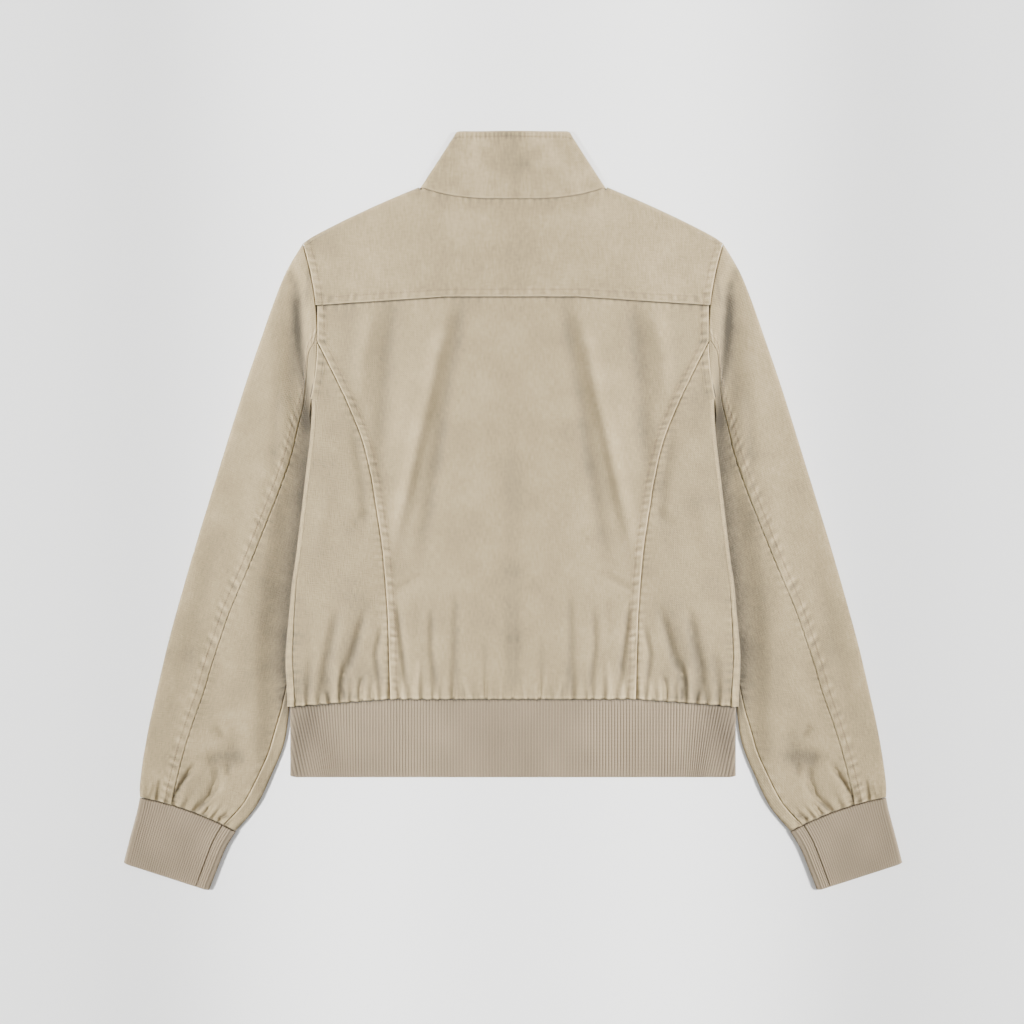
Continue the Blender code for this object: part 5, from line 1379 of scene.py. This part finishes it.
flat_inset = cuff_inset + (cuff_width - 2 * cuff_inset) * steps[None, :]
turn_inset, turn_across, turn_up = fold_plan(FOLD_TURNS[None, 1:], KNIT)
inset = np.hstack((flat_inset[:, join::-1], turn_inset + 0 * cuff_width, flat_inset[:, 1:-1],
                   cuff_width - turn_inset[:, ::-1], flat_inset[:, -1:join:-1]))
first, last = join + 1, len(steps) - 1 - join
turned, under = turn_inset.shape[1], len(steps) - 2
across = strung((0, first), turn_across, (0, under), turn_across[:, ::-1], (0, last))
up = strung((1, first), turn_up, (-1, under), turn_up[:, ::-1], (1, last))
away = strung((-1, first + turned), (1, under + turned + last))
ribs = np.hstack((steps[join::-1], np.linspace(0, 2, turned + 1)[1:] / CUFF_RIBS, steps[1:-1],
                  np.linspace(0, 2, turned) / CUFF_RIBS, steps[:join:-1]))[None, :]
groove = furrow(ribs * CUFF_RIBS)
share = inset / cuff_width
ends = [sleeve_plan(np.full_like(share, LAST_SECTION), value)
        for value in (share, 0 * share, 0 * share + 1)]
bend = ends[0] - ends[1] * (1 - share[..., None]) - ends[2] * share[..., None]
plan = outer_edge + cuff_inward * inset[..., None] + bend * (1 - cuff_place / FOOT_PLACE)[..., None]
to_side = np.minimum(inset, cuff_width - inset)
into_corner = np.clip(CUFF_CORNER - to_side, 0, CUFF_CORNER)
lifted = (CUFF_CORNER - np.sqrt(CUFF_CORNER**2 - into_corner**2)) * smooth(cuff_place, 1.0, 3.0)
plan = plan - lifted[..., None] * np.array(CUFF_DOWN)
x, y = plan[..., 0], plan[..., 1]
from_sleeve = cuff_place / FOOT_PLACE * CUFF_DEPTH
to_foot = (FOOT_PLACE - cuff_place) / FOOT_PLACE * CUFF_DEPTH
join_gap = np.abs(share - flat_inset[:, join:join + 1] / cuff_width) * cuff_width
swell = RIB_HEIGHT * (1 - 1.25 * groove) + band_ends(from_sleeve, to_foot)
swell = swell - 0.0004 * beside(join_gap, 0.0008) + 0.0003 * rumple(x, y, 0.016, seed=91)
# Painted shade in the furrows, along the seam to the sleeve and along the join; a random tone.
wear_and_painted_shading = 0.50 + 0.20 * rumple(x, y, 0.026, seed=93) - 0.75 * groove
wear_and_painted_shading = wear_and_painted_shading - 0.8 * beside(from_sleeve, 0.0010) - 0.4 * beside(join_gap, 0.0007)
inner, outer = wall_at(x, y, (cuff_inward[..., 0] * away, cuff_inward[..., 1] * away), across, up,
                       KNIT + KNIT_AIR + 0 * share, KNIT, KNIT, swell)
outer[..., 2] += 0.0004 * groove * np.clip(-up, 0, 1)
seam_share = np.linspace(0.045, 0.955, 70)
seam_place = np.full(70, LAST_SECTION - 0.01)
seam_x, seam_y = sleeve_plan(seam_place, seam_share).T
seam_z = sleeve_top_z(seam_place, seam_share, seam_x, seam_y)
seam_z = np.clip(seam_z, *BAND_SEAM_Z) - ALLOWANCE_SINK
for side, hand in HANDS:
    piece = shell(f"cuff_{hand}_knit", f"cuff_{hand}", inner, outer,
                  stack(inset + 5.0 + side, -from_sleeve, 0.0), wear_and_painted_shading, knit, side, lining_step=12)
    seam = allowance(f"cuff_seam_allowance_{hand}", side * seam_x, seam_y, seam_z)


# Zip: an open-ended metal zip, closed to the top. Its woven tapes are sewn behind the fronts'
# edges; antique brass teeth are clamped along their beads, and the slider and its pull are cast.
TAPE_SPLIT = 0.0004
TAPE_THICK = 0.0010
TAPE_LIFT = 0.0008
TAPE_COLUMNS = np.array((0.0, 0.04, 0.12, 0.22, 0.30, 0.36, 0.5, 0.7, 0.9, 1.0))
TAPE_WEAR = 0.1
SLIDER_Y = 0.3520
POST_WIDTH = 0.0022
TEETH_HALF = 0.0024
TOOTH_PITCH = 0.0027
TOOTH_LENGTH = 0.0012
TOOTH_HEIGHT = 0.0016
TOOTH_BEVEL = 0.0002
TEETH_START, TEETH_END = HEM_BAND_Y + 0.004, SLIDER_Y - 0.007

# Antique brass, cast or stamped, tumbled and darkened: a soft metal shine, browner in the hollows
# where the tarnish was left.
BRASS_COLOURS = {0.0: "5E4A2C", 1.0: "A3814D"}
brass, tree, shader = new_material("antique_brass", {"Metallic": 1.0, "Roughness": 0.38})
tarnish = add(tree, "ShaderNodeTexNoise", {"Scale": 420.0, "Detail": 3.0})
ramp = add(tree, "ShaderNodeValToRGB", {"Fac": tarnish.outputs["Fac"]}, BRASS_COLOURS)
tree.links.new(ramp.outputs["Color"], shader.inputs["Base Color"])

y = np.concatenate((np.linspace(HEM_BAND_Y, 0.255, 120),
                    np.linspace(0.256, COLLAR_TOP_Y - COLLAR_FRONT_DROP, 60)))[:, None]
parted = POST_WIDTH / 2 + SEAM_GAP
near = TAPE_SPLIT + (parted - TAPE_SPLIT) * smooth(y, SLIDER_Y - 0.004, SLIDER_Y)
x = near + (TAPE_X - near) * TAPE_COLUMNS
bottom = TAPE_LIFT * smooth(x, TEETH_HALF + 0.0011, TEETH_HALF) + zip_rise(x, y)
tooth_outline = np.array(((-0.0009, -0.30), (0.0003, -0.5), (TEETH_HALF, -0.5), (TEETH_HALF, 0.5),
                          (0.0003, 0.5), (-0.0009, 0.30))) * (1, TOOTH_LENGTH)
tooth_middle = tooth_outline.mean(axis=0)
tooth_levels = ((0.0, 0.85), (TOOTH_BEVEL, 1.0), (TOOTH_HEIGHT - TOOTH_BEVEL, 1.0),
                (TOOTH_HEIGHT, 0.85))
tooth_rings = [(height, tooth_middle + (tooth_outline - tooth_middle) * shrink)
               for height, shrink in tooth_levels]
for side, hand in HANDS:
    piece = shell(f"zip_tape_{hand}_cloth", f"zip_tape_{hand}", stack(x, y, bottom + TAPE_THICK),
                  stack(x, y, bottom), stack(x + 7 + side, y, 0.0), TAPE_WEAR, twill, side,
                  lining_step=3)
for side, hand in HANDS:
    start = TEETH_START + (TOOTH_PITCH / 2 if side > 0 else 0.0)
    teeth = []
    for centre in np.arange(start, TEETH_END, TOOTH_PITCH):
        low = 0.00005 + zip_rise(0.0, centre)
        teeth.append([[(side * across, centre + along, low + height) for across, along in ring]
                      for height, ring in tooth_rings])
    short_bars(f"zip_teeth_{hand}", teeth, brass, side)

for node in ("zip_slider", "zip_pull"):
    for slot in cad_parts[node].material_slots:
        slot.material = brass
